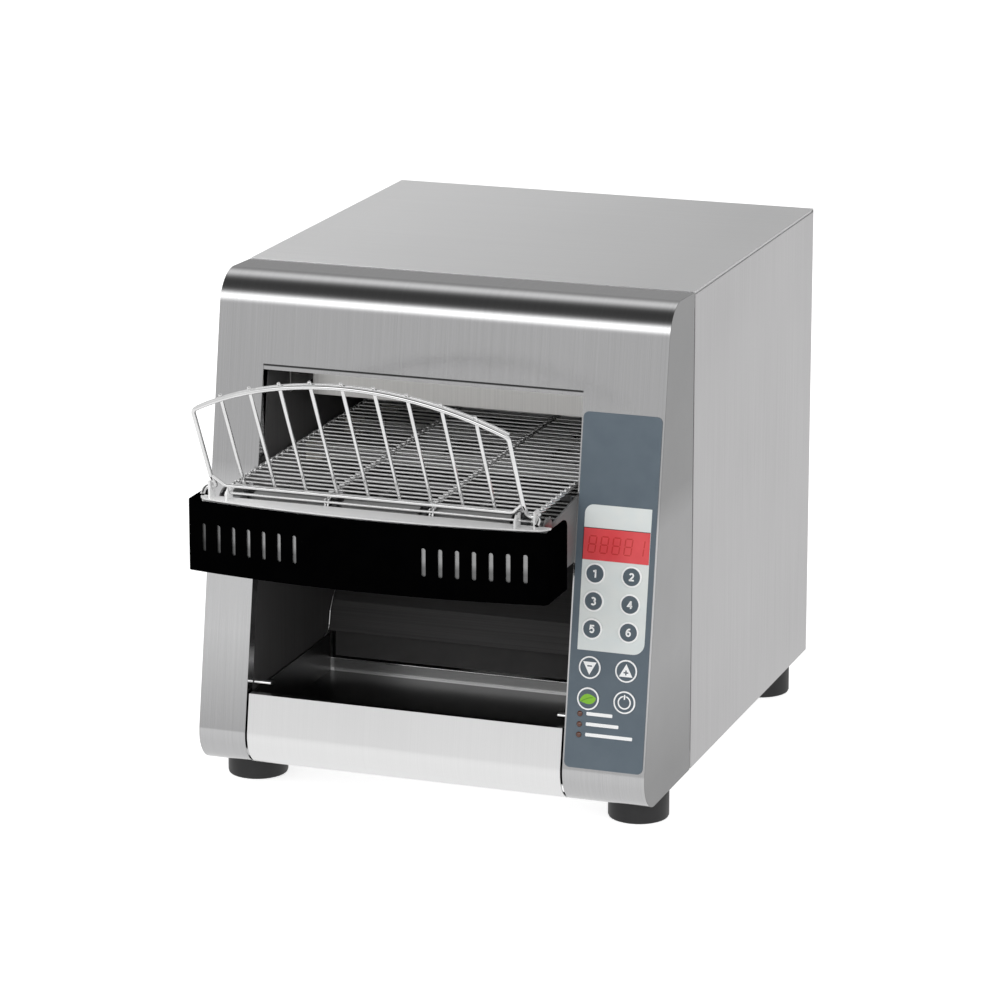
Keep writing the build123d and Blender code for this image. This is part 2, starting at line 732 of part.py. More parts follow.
def make_loading_rack():
    pivot = Vector(belt_centre, -rack_pivot_setback, floor_z + rack_pivot_height)
    plane = rack_plane()
    half = rack_width / 2
    rack = wire(plane, rack_loop(half), rack_wire_radius)
    rail_end = half - rack_rail_end
    rail = [(-half, 0.5), (-rail_end, -rack_rail_drop), (rail_end, -rack_rail_drop), (half, 0.5)]
    rack += bent_wire(plane, rail, rack_rail_radius, 3.0)
    for foot in rack_feet(pivot, plane.origin, half):
        rack += foot
    return rack


# ---- collector tray ----
def make_tray():
    """Open pan: slanted apron, floor, two side walls, a low rear wall and a hem behind the apron's edge."""
    left, right = opening_left + tray_side_gap, opening_right - tray_side_gap
    under, top = tray_floor - sheet, tray_top
    front_low, front_top = face_y(under) + 0.5 * sheet, face_y(top) + 0.5 * sheet
    apron = skin(0, (left, right)) - skin(sheet, (left - 1, right + 1), -side_depth + 2)
    apron &= block((left, right), (body_front - 1, bend_centre[0] + 4), (floor_z - 1, floor_z + top))
    floor = block((left, right), (front_low, -tray_rear), (floor_z + under, floor_z + tray_floor))
    hem = block((left, right), (front_top, front_top + tray_flange), (floor_z + top - sheet, floor_z + top))
    back = block((left, right), (-tray_rear - sheet, -tray_rear),
                 (floor_z + under, floor_z + tray_floor + tray_rear_height))
    outline = [(-tray_rear, floor_z + under), (front_low, floor_z + under),
               (front_top, floor_z + top), (-tray_rear, floor_z + top)]
    walls = side_polygon(outline, (left, left + sheet)) + side_polygon(outline, (right - sheet, right))
    return apron + floor + hem + back + walls


def make_runners():
    """Angle runners on the liners that carry the tray's floor along its sides."""
    seat = floor_z + tray_floor - sheet - sliding_clearance
    y = (body_front + runner_gap_front, -tray_rear)
    runners = []
    for wall, side in ((opening_left, 1), (opening_right, -1)):
        shelf = block((wall, wall + side * runner_width), y, (seat - sheet, seat))
        upright = block((wall, wall + side * sheet), y, (seat - runner_width, seat - sheet))
        runners.append(shelf + upright)
    return runners


def make_tray_pins():
    z = floor_z + pin_height
    pins = []
    for wall, side in ((opening_left, 1), (opening_right, -1)):
        x = sorted((wall, wall + side * pin_reach))
        pins.append(rod(x, -pin_setback, z, pin_radius, pin_sides))
    return pins


# ---- controls ----
def make_key(name, x, height):
    radius = number_key_radius if name[4:].isdigit() else symbol_key_radius
    disc = on_face(x, height, overlay_thickness + key_lift) * RegularPolygon(radius, key_sides)
    return extrude(disc, amount=key_thickness)


def make_lamps():
    x = overlay_left + lamp_inset
    spots = [on_face(x, height, overlay_thickness) * RegularPolygon(lamp_radius, lamp_sides)
             for height in lamp_heights]
    return [extrude(spot, amount=lamp_thickness) for spot in spots]


def make_control_board():
    """Circuit board on four square standoffs behind the keypad, with its larger components."""
    left, right = overlay_left + board_margin, overlay_right - board_margin
    bottom, top = board_bottom, board_top
    level = -sheet - board_gap
    board = face_plate(left, right, bottom, top, level - board_thickness, board_thickness)
    for x in (left + board_margin, right - board_margin):
        for height in (bottom + 8, top - 8):
            pillar = on_face(x, height, level) * Rectangle(standoff, standoff)
            board += extrude(pillar, amount=board_gap)
    for width, height, depth, up in ((44, 20, 8, 203.0), (26, 26, 5, 150.0), (30, 16, 10, 100.0)):
        x = (left + right) / 2
        board += face_plate(x - width / 2, x + width / 2, up - height / 2, up + height / 2, level, depth)
    return board


# ---- drive ----
def chain_sprocket_radius(teeth):
    return chain_pitch / (2 * sin(pi / teeth))


def make_chain_wheel(teeth, y, z, bore):
    """A chain wheel as a toothed disc."""
    pitch = chain_sprocket_radius(teeth)
    points = []
    for i in range(teeth):
        middle = 360 / teeth * (i + 0.5)
        width = 360 / teeth
        for radius, angle in ((pitch - 1.6, middle - 0.35 * width), (pitch + 1.2, middle),
                              (pitch - 1.6, middle + 0.35 * width)):
            points.append((y + radius * cos(radians(angle)), z + radius * sin(radians(angle))))
    disc = side_polygon(points, (chain_x - chain_width / 2, chain_x + chain_width / 2))
    return disc - bar((chain_x - 5, chain_x + 5), y, z, bore)


def make_chain(big, small):
    """The chain's closed run round both wheels, as a band just outside their teeth."""
    (y1, z1, r1), (y2, z2, r2) = big, small
    distance = hypot(y2 - y1, z2 - z1)
    along = (0, (y2 - y1) / distance, (z2 - z1) / distance)
    start = Plane(origin=(chain_x - chain_width / 2, y1, z1), x_dir=along, z_dir=(1, 0, 0))

    def loop(extra):
        a, b = r1 + extra, r2 + extra
        tilt = asin((a - b) / distance)
        tangent = (sin(tilt), cos(tilt))
        up1, up2 = (a * tangent[0], a * tangent[1]), (distance + b * tangent[0], b * tangent[1])
        down1, down2 = (up1[0], -up1[1]), (up2[0], -up2[1])
        return make_face([Line(up1, up2), ThreePointArc(up2, (distance + b, 0), down2), Line(down2, down1),
                          ThreePointArc(down1, (-a, 0), up1)])

    gap = 1.2 + 0.3
    band = loop(gap + chain_thickness) - loop(gap)
    return extrude(start * band, amount=chain_width)


def make_gearmotor():
    """Gearbox and motor can on standoffs from the liner, with a bore for the output shaft."""
    y, z = -motor_setback, floor_z + motor_height
    half = gearbox_size / 2
    case = block((gearbox_x, gearbox_x + gearbox_depth), (y - half, y + half), (z - half, z + half))
    rear = gearbox_x + gearbox_depth
    case += rod((rear, rear + motor_can_length), y, z, motor_can_radius, motor_can_sides)
    wall, corner = opening_right + panel_sheet, half - gearbox_post
    for dy in (-corner, corner):
        for dz in (-corner, corner):
            case += square_bar((wall, gearbox_x), y + dy, z + dz, gearbox_post)
    return case - bar((gearbox_x - 1, gearbox_x + 12), y, z, motor_shaft_radius + running_clearance)


# ---- rear fittings ----
def rear_bar(x, z, y, radius):
    """A round bar along Y between the two values of y."""
    return Pos(x, (y[0] + y[1]) / 2, z) * Rot(90, 0, 0) * Cylinder(radius, abs(y[1] - y[0]))


def rear_prism(x, z, y, radius, sides):
    """A prism with equal sides along Y between the two values of y."""
    start = Plane(origin=(x, y[0], z), x_dir=(1, 0, 0), z_dir=(0, y[1] - y[0], 0))
    return extrude(start * RegularPolygon(radius, sides), amount=abs(y[1] - y[0]))


def make_fan_frame():
    z = floor_z + fan_height
    half = fan_size / 2
    y = (-panel_sheet - fan_depth, -panel_sheet)
    frame = block((fan_x - half, fan_x + half), y, (z - half, z + half))
    frame -= rear_prism(fan_x, z, y, fan_bore_radius, bore_sides)
    strut, wide, reach = (y[0], y[0] + 3), fan_strut / 2, fan_bore_radius + 1
    frame += block((fan_x - reach, fan_x + reach), strut, (z - wide, z + wide))
    frame += block((fan_x - wide, fan_x + wide), strut, (z - reach, z + reach))
    frame += rear_prism(fan_x, z, strut, fan_hub_radius, 2 * fan_blades)
    return frame + rear_bar(fan_x, z, (strut[0], strut[0] + 12), fan_pin_radius)


def make_fan_rotor():
    z = floor_z + fan_height
    y = (-panel_sheet - fan_depth + 3.5, -panel_sheet - 3)
    rotor = rear_prism(fan_x, z, y, fan_hub_radius, 2 * fan_blades)
    reach = fan_bore_radius - fan_tip_gap
    for i in range(fan_blades):
        blade = Pos(0, 0, (reach + fan_hub_radius - 1) / 2) * Rot(0, 0, 35)
        blade *= Box(11, 1.2, reach - fan_hub_radius + 1)
        rotor += Pos(fan_x, (y[0] + y[1]) / 2, z) * Rot(0, i * 360 / fan_blades, 0) * blade
    return rotor - rear_bar(fan_x, z, (y[0] - 1, y[0] + 10), fan_pin_radius + running_clearance)


def make_gland():
    """Cable gland through the rear panel: outer cap nut, barrel and inner lock nut round a clear bore."""
    z = floor_z + gland_height
    inner = -panel_sheet - gland_lock
    gland = rear_prism(gland_x, z, (-panel_sheet, 0), gland_barrel_radius, bore_sides)
    gland += rear_prism(gland_x, z, (0, gland_reach), gland_nut / 2, 6)
    gland += rear_prism(gland_x, z, (inner, -panel_sheet), gland_nut / 2, 6)
    return gland - rear_bar(gland_x, z, (inner - 1, gland_reach + 1), gland_bore_radius)


def make_terminal_block():
    z = floor_z + sheet + terminal_height
    right = half_width - terminal_side_gap
    y = (-terminal_setback - terminal_depth, -terminal_setback)
    body = block((right - terminal_width, right), y, (floor_z + sheet, z))
    wide, deep, high = terminal_screw_size
    for i in range(terminal_screws):
        x = right - terminal_width / 2 + (i - (terminal_screws - 1) / 2) * terminal_screw_pitch
        middle = (y[0] + y[1]) / 2
        body += block((x - wide / 2, x + wide / 2), (middle - deep / 2, middle + deep / 2), (z, z + high))
    return body


# ---- assembly ----
def build():
    keep("front_panel", make_front_panel())
    keep("top_panel", make_top_panel())
    keep("left_side_panel", make_side_panel(-1))
    keep("right_side_panel", make_side_panel(1))
    keep("rear_panel", make_rear_panel())
    keep("base_pan", make_base_pan())
    for name, place in zip(("front_left_foot", "front_right_foot", "rear_left_foot", "rear_right_foot"),
                           foot_places()):
        keep(name, make_foot(*place))
    keep("left_liner", make_liner(opening_left, -1))
    keep("right_liner", make_liner(opening_right, 1))
    keep("upper_reflector", make_upper_reflector())
    upper, upper_blocks = heater_set(upper_heater_setbacks, floor_z + upper_heater_height,
                                     (opening_left + panel_sheet, opening_right - panel_sheet))
    lower, lower_blocks = heater_set(lower_heater_setbacks, shaft_height,
                                     (opening_left + rail_sheet, opening_right - rail_sheet))
    keep("upper_heaters", *upper)
    keep("lower_heaters", *lower)
    keep("heater_end_blocks", *upper_blocks, *lower_blocks)
    keep("return_chute", make_chute())
    keep("left_rail", make_rail(opening_left, -1))
    keep("right_rail", make_rail(opening_right, 1))
    between = (opening_left + rail_sheet, opening_right - rail_sheet)
    keep("belt_support_bars", *[square_bar(between, -y, support_bar_top - support_bar / 2, support_bar)
                                for y in support_bar_setbacks])
    keep("wire_belt", *make_belt())
    for name, y, end in (("drive", drive_y, shaft_end_x), ("idler", idler_y, opening_right)):
        keep(name + "_shaft", make_shaft(y, end))
        keep(name + "_belt_sprockets", *[make_belt_sprocket(x, y) for x in sprocket_places()])
    keep("shaft_bushings", *[make_bushing(x, side, y, y == drive_y) for y in (drive_y, idler_y)
                             for x, side in ((opening_left, -1), (opening_right, 1))])
    keep("front_cover", make_cover())
    keep("front_ledge", make_ledge())
    keep("guide_rod", make_guide_rod())
    keep("loading_rack", make_loading_rack())
    keep("rack_slats", *[rack_plane() * slat for slat in rack_slats(rack_width / 2)])
    keep("collector_tray", make_tray())
    keep("tray_runners", *make_runners())
    keep("tray_pins", *make_tray_pins())
    keep("control_overlay", face_plate(overlay_left, overlay_right, overlay_bottom, overlay_top, 0,
                                       overlay_thickness, overlay_radius))
    window = (overlay_left + window_margin_left, overlay_right - window_margin_right)
    keep("display_window", face_plate(*window, window_bottom, window_top, overlay_thickness,
                                      window_thickness))
    keep("indicator_lamps", *make_lamps())
    for names, height in zip(key_names, key_rows):
        for i, name in enumerate(names):
            keep(name, make_key(name, overlay_left + key_inset + i * key_pitch, height))
    keep("control_board", make_control_board())
    motor_place = (-motor_setback, floor_z + motor_height)
    keep("driven_sprocket", make_chain_wheel(drive_sprocket_teeth, drive_y, shaft_height, shaft_radius))
    keep("motor_sprocket", make_chain_wheel(motor_sprocket_teeth, *motor_place, motor_shaft_radius))
    keep("motor_shaft", bar((chain_x - chain_width, gearbox_x + 11), *motor_place, motor_shaft_radius))
    keep("gearmotor", make_gearmotor())
    keep("drive_chain", make_chain((drive_y, shaft_height, chain_sprocket_radius(drive_sprocket_teeth)),
                                   (*motor_place, chain_sprocket_radius(motor_sprocket_teeth))))
    keep("fan_frame", make_fan_frame())
    keep("fan_rotor", make_fan_rotor())
    keep("cord_gland", make_gland())
    keep("terminal_block", make_terminal_block())


build()
spans = [shape.bounding_box() for shape in nodes.values()]
shift = -(min(b.min.Y for b in spans) + max(b.max.Y for b in spans)) / 2
os.makedirs("parts", exist_ok=True)
for node_name, shape in nodes.items():
    export_step(Pos(0, shift, 0) * shape, f"parts/{node_name}.step")
print("nodes", len(nodes), "shift in y", round(shift, 3))
print("rack pivot", round(-rack_pivot_setback + shift, 3), floor_z + rack_pivot_height)
print("drive shaft", round(drive_y + shift, 3), "idler", round(idler_y + shift, 3))
print("belt shafts' height", round(shaft_height, 3))
print("motor shaft", round(-motor_setback + shift, 3), floor_z + motor_height)
print("fan", fan_x, floor_z + fan_height)
print("size", 2 * half_width, round(max(b.max.Y for b in spans) - min(b.min.Y for b in spans), 2),
      round(max(b.max.Z for b in spans), 2))
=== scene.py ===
import json
import math

import bmesh
import bpy
from mathutils import Matrix, Vector


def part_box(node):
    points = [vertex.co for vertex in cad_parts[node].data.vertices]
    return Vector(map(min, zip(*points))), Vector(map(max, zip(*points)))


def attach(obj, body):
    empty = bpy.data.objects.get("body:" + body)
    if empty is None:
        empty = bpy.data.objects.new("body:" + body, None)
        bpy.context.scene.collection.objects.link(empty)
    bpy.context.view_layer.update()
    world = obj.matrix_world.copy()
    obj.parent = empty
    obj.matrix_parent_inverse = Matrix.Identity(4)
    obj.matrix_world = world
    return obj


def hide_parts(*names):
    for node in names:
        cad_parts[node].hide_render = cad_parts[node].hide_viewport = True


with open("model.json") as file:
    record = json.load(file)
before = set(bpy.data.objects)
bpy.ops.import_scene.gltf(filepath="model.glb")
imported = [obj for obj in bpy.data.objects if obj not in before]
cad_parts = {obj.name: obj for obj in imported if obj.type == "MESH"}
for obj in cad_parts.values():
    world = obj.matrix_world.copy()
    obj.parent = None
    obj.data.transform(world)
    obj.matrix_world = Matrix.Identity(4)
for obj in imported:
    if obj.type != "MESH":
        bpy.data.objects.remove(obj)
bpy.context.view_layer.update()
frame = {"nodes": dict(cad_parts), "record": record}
bpy.ops.object.select_all(action="DESELECT")
nodes = frame["nodes"]
mm = 0.001
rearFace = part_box("rear_panel")[1].y  # depths are counted from here, heights from the underside
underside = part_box("front_left_foot")[1].z
record = frame["record"]
bodyOfNode = {node: body for body, members in record["behaviour"]["bodies"].items() for node in members}
slotOfNode = {part["node"]: part["material_slot"] for part in record["subparts"]}
print("stage: frame loaded,", len(nodes), "nodes")


def madeNode(tree, kind, inputs, **settings):  # an input is a constant or another node's output
    node = tree.nodes.new(kind)
    for name, value in settings.items():
        setattr(node, name, value)
    for socket, value in inputs.items():
        if isinstance(value, bpy.types.NodeSocket):
            tree.links.new(value, node.inputs[socket])
        else:
            node.inputs[socket].default_value = value
    return node


def mathNode(tree, operation, *values):
    return madeNode(tree, "ShaderNodeMath", dict(enumerate(values)), operation=operation).outputs[0]


# materials: each reads Object coordinates, so a pattern stays on its piece
class Shader:
    # adds nodes to one material and links them to its surface

    def __init__(self, name):
        self.material = bpy.data.materials.new(name)
        self.material.use_nodes = True
        self.tree = self.material.node_tree
        self.surface = self.tree.nodes["Principled BSDF"]
        self.coords = self.tree.nodes.new("ShaderNodeTexCoord").outputs["Object"]

    def put(self, socket, value):
        self.surface.inputs[socket].default_value = value

    def link(self, output, socket):
        self.tree.links.new(output, self.surface.inputs[socket])

    def noise(self, scale, detail=3.0, vector=None, roughness=0.5):
        inputs = {"Scale": scale, "Detail": detail, "Roughness": roughness, "Vector": vector or self.coords}
        return madeNode(self.tree, "ShaderNodeTexNoise", inputs).outputs["Fac"]

    def ramp(self, fac, low, high, start=0.3, end=0.7):
        inputs = {"Value": fac, "From Min": start, "From Max": end, "To Min": low, "To Max": high}
        return madeNode(self.tree, "ShaderNodeMapRange", inputs).outputs["Result"]

    def tint(self, fac, low, high, start=0.3, end=0.7):
        node = madeNode(self.tree, "ShaderNodeValToRGB", {"Fac": fac})
        for stop, place, colour in zip(node.color_ramp.elements, (start, end), (low, high)):
            stop.position = place
            stop.color = (*colour, 1)
        return node.outputs["Color"]

    def along(self, *direction):  # how far a point lies along a direction
        inputs = {0: self.coords, 1: direction}
        return madeNode(self.tree, "ShaderNodeVectorMath", inputs, operation="DOT_PRODUCT").outputs["Value"]

    def scaled(self, colour, factor):
        inputs = {0: colour, "Scale": factor}
        return madeNode(self.tree, "ShaderNodeVectorMath", inputs, operation="SCALE").outputs["Vector"]

    def bump(self, fac, strength, distance):
        inputs = {"Strength": strength, "Distance": distance, "Height": fac}
        self.link(madeNode(self.tree, "ShaderNodeBump", inputs).outputs["Normal"], "Normal")


def product(m, factors):
    total = factors[0]
    for factor in factors[1:]:
        total = mathNode(m.tree, "MULTIPLY", total, factor)
    return total


brush = {"fine": 2400.0, "long": 6.0}  # changes of tone for each metre across and along the lines


def brushedMetal(name, across, low, high, roughness, bump=0.12, metallic=1.0, shade=None):
    # brushed sheet whose fine lines are told apart along one axis of the object only
    m = Shader(name)
    scale = [brush["fine" if axis == across else "long"] for axis in "xyz"]
    drawn = madeNode(m.tree, "ShaderNodeMapping", {"Scale": scale, "Vector": m.coords}).outputs[0]
    lines = m.noise(1.0, 5.0, drawn, 0.7)
    colour = m.tint(lines, low, high, 0.34, 0.66)
    # shade, if given, paints light and shade into the colour
    m.link(m.scaled(colour, shade(m)) if shade else colour, "Base Color")
    m.link(m.ramp(m.noise(7.0, 2.0), roughness - 0.02, roughness + 0.03), "Roughness")
    m.put("Metallic", metallic)
    m.bump(lines, bump, 0.0001)
    return m.material


def sheetMetal(name, low, high, roughness, scale, metallic=1.0, shade=None):
    m = Shader(name)
    cloud = m.noise(scale, 4.0)
    colour = m.tint(cloud, low, high)
    # shade, if given, paints light and shade into the colour
    m.link(m.scaled(colour, shade(m)) if shade else colour, "Base Color")
    m.link(m.ramp(cloud, roughness - 0.03, roughness + 0.04), "Roughness")
    m.put("Metallic", metallic)
    m.bump(m.noise(scale * 20, 2.0), 0.05, 0.0002)
    return m.material


def coating(name, low, high, roughness, grit=900.0, bump=0.1, coat=0.0, shine=0.5):
    m = Shader(name)
    m.link(m.tint(m.noise(60.0, 3.0), low, high), "Base Color")
    m.link(m.ramp(m.noise(25.0, 2.0), roughness - 0.04, roughness + 0.05), "Roughness")
    m.put("Coat Weight", coat)
    m.put("Specular IOR Level", shine)
    m.bump(m.noise(grit, 2.0), bump, 0.0003)
    return m.material


def printed(name, low, high, roughness=0.45):
    return coating(name, low, high, roughness, 1800.0, 0.02)


# the slanted face: its slope in degrees, a point on it and the overlay's thickness in millimetres
face = {"slope": 9.35, "anchorHeight": 362.549, "anchorDepth": 399.628, "film": 0.8}
faceTangent = math.tan(math.radians(face["slope"]))
apronPlane = (rearFace - (face["anchorDepth"] + face["anchorHeight"] * faceTangent) * mm
              - faceTangent * underside)

# the ways in which painted light and shade are measured, each with the place of its zero
shadeWays = {
    "right": ((1, 0, 0), 0.0), "side": ((1, 0, 0), 0.0), "depth": ((0, 1, 0), rearFace),
    "height": ((0, 0, 1), underside), "apron": ((0, 1, -faceTangent), apronPlane),
}
# painted light and shade on a piece: the way, the two brightnesses, then start and end in millimetres
paintedShading = {
    # underCover is painted light, and top and ledge are painted lighter to the left as light; all other bands
    # are painted shade, lineEnds to lineHigh a painted shadow line
    "cheek": ("side", 1.0, 0.32, 183.92, 184.04), "underCover": ("height", 1.45, 1.0, 215.0, 240.0),
    "foot": ("height", 0.62, 1.0, 20.0, 110.0), "lineEnds": ("side", 1.0, 0.0, 150.0, 151.0),
    "lineFront": ("depth", 0.0, 1.0, -406.65, -406.63), "lineLow": ("height", 0.0, 1.0, 316.2, 316.6),
    "lineHigh": ("height", 1.0, 0.0, 318.1, 318.3), "apronBack": ("apron", 0.0, 1.0, 0.7, 0.9),
    "panFloor": ("height", 0.0, 1.0, 28.6, 29.2), "panWall": ("depth", 0.11, 0.72, -280.5, -279.5),
    "beltReturn": ("height", 0.25, 1.0, 226.0, 236.0), "top": ("right", 1.0, 0.80, -150.0, 150.0),
    "ledge": ("right", 1.0, 0.72, -120.0, 60.0), "slotLow": ("height", 0.50, 1.0, 203.0, 209.0),
    "slotEnds": ("side", 1.0, 0.35, 112.0, 144.0),
}
openingLine = 0.12  # brightness of the painted shadow line over the opening


def band(m, name):
    way, low, high, start, end = paintedShading[name]
    direction, zero = shadeWays[way]
    distance = m.along(*direction)
    if way == "side":  # away from the centre line
        distance = mathNode(m.tree, "ABSOLUTE", distance)
    return m.ramp(distance, low, high, zero + start * mm, zero + end * mm)


def bands(*names):
    return lambda m: product(m, [band(m, name) for name in names])


def facePaintedShading(m):  # painted light under the cover, painted shade at the foot and on the folded cheeks, and a painted shadow line over the opening
    line = bands("lineEnds", "lineFront", "lineLow", "lineHigh")(m)
    return product(m, [bands("cheek", "underCover", "foot")(m), m.ramp(line, 1.0, openingLine, 0.0, 1.0)])


def panPaintedShade(m):  # painted shade: the tray is painted darker inside, behind its apron, less on the rear wall
    inputs = {"Factor": bands("apronBack", "panFloor")(m), "A": 1.0, "B": band(m, "panWall")}
    return madeNode(m.tree, "ShaderNodeMix", inputs).outputs["Result"]


def grey(value):
    return (value, value, value)


# copies of one stainless steel, painted lighter or darker as light and shade: the top, tray and ledge
# lighter, the sides and rails darker
stainlessFace = brushedMetal("brushedFace", "x", (0.56, 0.56, 0.565), (0.63, 0.63, 0.635), 0.13,
                             shade=facePaintedShading)
stainlessSide = brushedMetal("brushedSide", "y", (0.44, 0.435, 0.44), (0.55, 0.545, 0.55), 0.32)
# the top is painted lighter to the left, as light falling from that side
stainlessTop = brushedMetal("brushedTop", "y", (0.93, 0.93, 0.935), grey(0.99), 0.52, metallic=0.7,
                            shade=bands("top"))
stainlessPlain = brushedMetal("brushedPlain", "z", grey(0.54), grey(0.62), 0.30)
stainlessTray = brushedMetal("brushedTray", "x", grey(0.86), grey(0.90), 0.30, 0.05, shade=panPaintedShade)
# the ledge is painted lighter to the left, as a painted reflection
stainlessLedge = brushedMetal("brushedLedge", "y", grey(0.92), grey(1.0), 0.42, 0.1, 0.0, bands("ledge"))
stainlessRail = brushedMetal("brushedRail", "z", grey(0.20), grey(0.235), 0.62, metallic=0.35)
# the strip behind the slots is painted darker low down and towards its ends, as shade
slotSheet = brushedMetal("slotSheet", "z", grey(0.40), grey(0.46), 0.36,
                         shade=bands("slotLow", "slotEnds"))
darkSteel = brushedMetal("heatDarkSteel", "y", (0.055, 0.053, 0.054), (0.092, 0.090, 0.090), 0.62, 0.1, 0.0)
reflectorSheet = brushedMetal("reflectorSheet", "x", (0.74, 0.73, 0.71), (0.84, 0.83, 0.81), 0.34)
brightWire = sheetMetal("brightWire", grey(0.84), grey(0.92), 0.08, 60.0)
# the lower run of the belt is painted darker, as shade
beltWire = sheetMetal("beltWire", grey(0.80), grey(0.90), 0.14, 60.0, 0.7, bands("beltReturn"))
blackPaint = coating("satinBlack", (0.0006, 0.0006, 0.0007), (0.001, 0.001, 0.0011), 0.62, 1400.0, 0.04,
                     shine=0.0)
blackRubber = coating("blackRubber", (0.008, 0.008, 0.009), (0.016, 0.016, 0.017), 0.50, 1100.0, 0.12)
quartz = coating("milkyQuartz", (0.70, 0.70, 0.68), (0.82, 0.82, 0.80), 0.20, 300.0, 0.02)
ceramic = coating("unglazedCeramic", (0.60, 0.57, 0.50), (0.78, 0.75, 0.68), 0.70)
slateFilm = coating("slateFilm", (0.098, 0.130, 0.160), (0.112, 0.146, 0.176), 0.42, 1800.0, 0.04)
panelPrint = printed("panelPrint", (0.74, 0.79, 0.79), (0.79, 0.82, 0.80))
whitePrint = printed("whitePrint", (0.97, 0.98, 0.98), grey(1.0))
blackPrint = printed("blackPrint", (0.012, 0.012, 0.013), (0.020, 0.020, 0.021), 0.40)
leafPrint = printed("leafPrint", (0.20, 0.50, 0.025), (0.27, 0.58, 0.040))
veinPrint = printed("veinPrint", (0.07, 0.22, 0.012), (0.09, 0.27, 0.018))
redWindow = coating("redWindow", (0.74, 0.075, 0.085), (0.82, 0.095, 0.105), 0.18, 500.0, 0.01)
segmentPrint = coating("unlitSegment", (0.56, 0.035, 0.035), (0.62, 0.050, 0.045), 0.25, 500.0, 0.01)
lampLens = coating("unlitLens", (0.085, 0.026, 0.014), (0.12, 0.038, 0.020), 0.12, 300.0, 0.02, 0.5)
keyFilm = coating("keyFilm", (0.080, 0.108, 0.132), (0.096, 0.126, 0.152), 0.40, 1800.0, 0.04)
circuitBoard = coating("circuitBoard", (0.03, 0.17, 0.09), (0.05, 0.24, 0.13), 0.35, 500.0, 0.2)
machinedSteel = sheetMetal("machinedSteel", (0.20, 0.20, 0.205), (0.34, 0.34, 0.345), 0.32, 35.0)
tubeSteel = sheetMetal("tubeSteel", grey(0.30), grey(0.36), 0.42, 35.0)
wheelSteel = sheetMetal("wheelSteel", (0.16, 0.16, 0.165), (0.26, 0.26, 0.265), 0.30, 35.0)
bronze = sheetMetal("sinteredBronze", (0.42, 0.28, 0.14), (0.58, 0.42, 0.22), 0.42, 50.0)
motorPaint = coating("motorPaint", (0.15, 0.16, 0.17), (0.21, 0.22, 0.23), 0.50)
blackPlastic = coating("blackPlastic", (0.014, 0.014, 0.015), (0.030, 0.030, 0.031), 0.48, 700.0, 0.1)

slotMaterials = {
    "stainless": stainlessPlain, "dark_steel": darkSteel, "bright_reflector": reflectorSheet,
    "bright_wire": brightWire, "black_paint": blackPaint, "black_rubber": blackRubber, "quartz": quartz,
    "ceramic": ceramic, "slate_film": slateFilm, "red_window": redWindow, "lamp": lampLens,
    "key_cap": keyFilm, "circuit": circuitBoard, "machine_steel": machinedSteel, "bronze": bronze,
    "motor_paint": motorPaint, "black_plastic": blackPlastic,
}
ownMaterials = {
    "front_panel": stainlessFace, "top_panel": stainlessTop, "left_side_panel": stainlessSide,
    "right_side_panel": stainlessSide, "collector_tray": stainlessTray, "front_ledge": stainlessLedge,
    "left_rail": stainlessRail, "right_rail": stainlessRail, "shaft_bushings": wheelSteel,
}
materialOfNode = {node: ownMaterials.get(node, slotMaterials[slot]) for node, slot in slotOfNode.items()}
for node, material in materialOfNode.items():
    nodes[node].data.materials.clear()
    nodes[node].data.materials.append(material)
print("stage: materials on every node")


# small tools for modelling
def at(x, y, z):  # millimetres from the centre line, the rear face and the underside
    return Vector((x * mm, rearFace + y * mm, underside + z * mm))


def only(obj):
    bpy.ops.object.select_all(action="DESELECT")
    obj.select_set(True)
    bpy.context.view_layer.objects.active = obj


def startEdit(obj):
    only(obj)
    bpy.ops.object.mode_set(mode="EDIT")


def endEdit():
    bpy.ops.object.mode_set(mode="OBJECT")


def evenly(low, high, steps):
    return [low + (high - low) * i / steps for i in range(steps + 1)]


def cylinder(vertices, radius, depth):
    bpy.ops.mesh.primitive_cylinder_add(vertices=vertices, radius=radius * mm, depth=depth * mm)
    return bpy.context.object


def chooseAll():
    bpy.ops.mesh.select_all(action="SELECT")


def plane(width, height):  # left in edit mode
    bpy.ops.mesh.primitive_plane_add(size=1)
    startEdit(bpy.context.object)
    bpy.ops.transform.resize(value=(width, height, 1))
    return bpy.context.object


def thicken(height):  # raises a flat shape into a plate
    chooseAll()
    bpy.ops.mesh.extrude_region_move(TRANSFORM_OT_translate={"value": (0, 0, height * mm)})


def choose(obj, kind, test):  # kind is verts, edges or faces
    bpy.ops.mesh.select_mode(type={"verts": "VERT", "edges": "EDGE", "faces": "FACE"}[kind])
    bpy.ops.mesh.select_all(action="DESELECT")
    shape = bmesh.from_edit_mesh(obj.data)
    for item in getattr(shape, kind):
        if test(item):
            item.select_set(True)
    shape.select_flush_mode()
    bmesh.update_edit_mesh(obj.data)


def swell(distance):  # moves the chosen faces out along their normals, with walls behind them
    bpy.ops.mesh.extrude_region_shrink_fatten(TRANSFORM_OT_shrink_fatten={"value": distance * mm})


def roundCorners(radius, segments):
    bpy.ops.mesh.bevel(offset=radius * mm, segments=segments, affect="VERTICES")


def modified(obj, kind, **settings):
    modifier = obj.modifiers.new(kind.lower(), kind)
    for key, value in settings.items():
        setattr(modifier, key, value)
    only(obj)
    bpy.ops.object.modifier_apply(modifier=modifier.name)


def bevelled(obj, width, angle, segments=2):
    modified(obj, "BEVEL", width=width * mm, segments=segments, limit_method="ANGLE", use_clamp_overlap=True,
             angle_limit=math.radians(angle))


def smooth(obj, angle):
    only(obj)
    bpy.ops.object.shade_smooth_by_angle(angle=math.radians(angle))


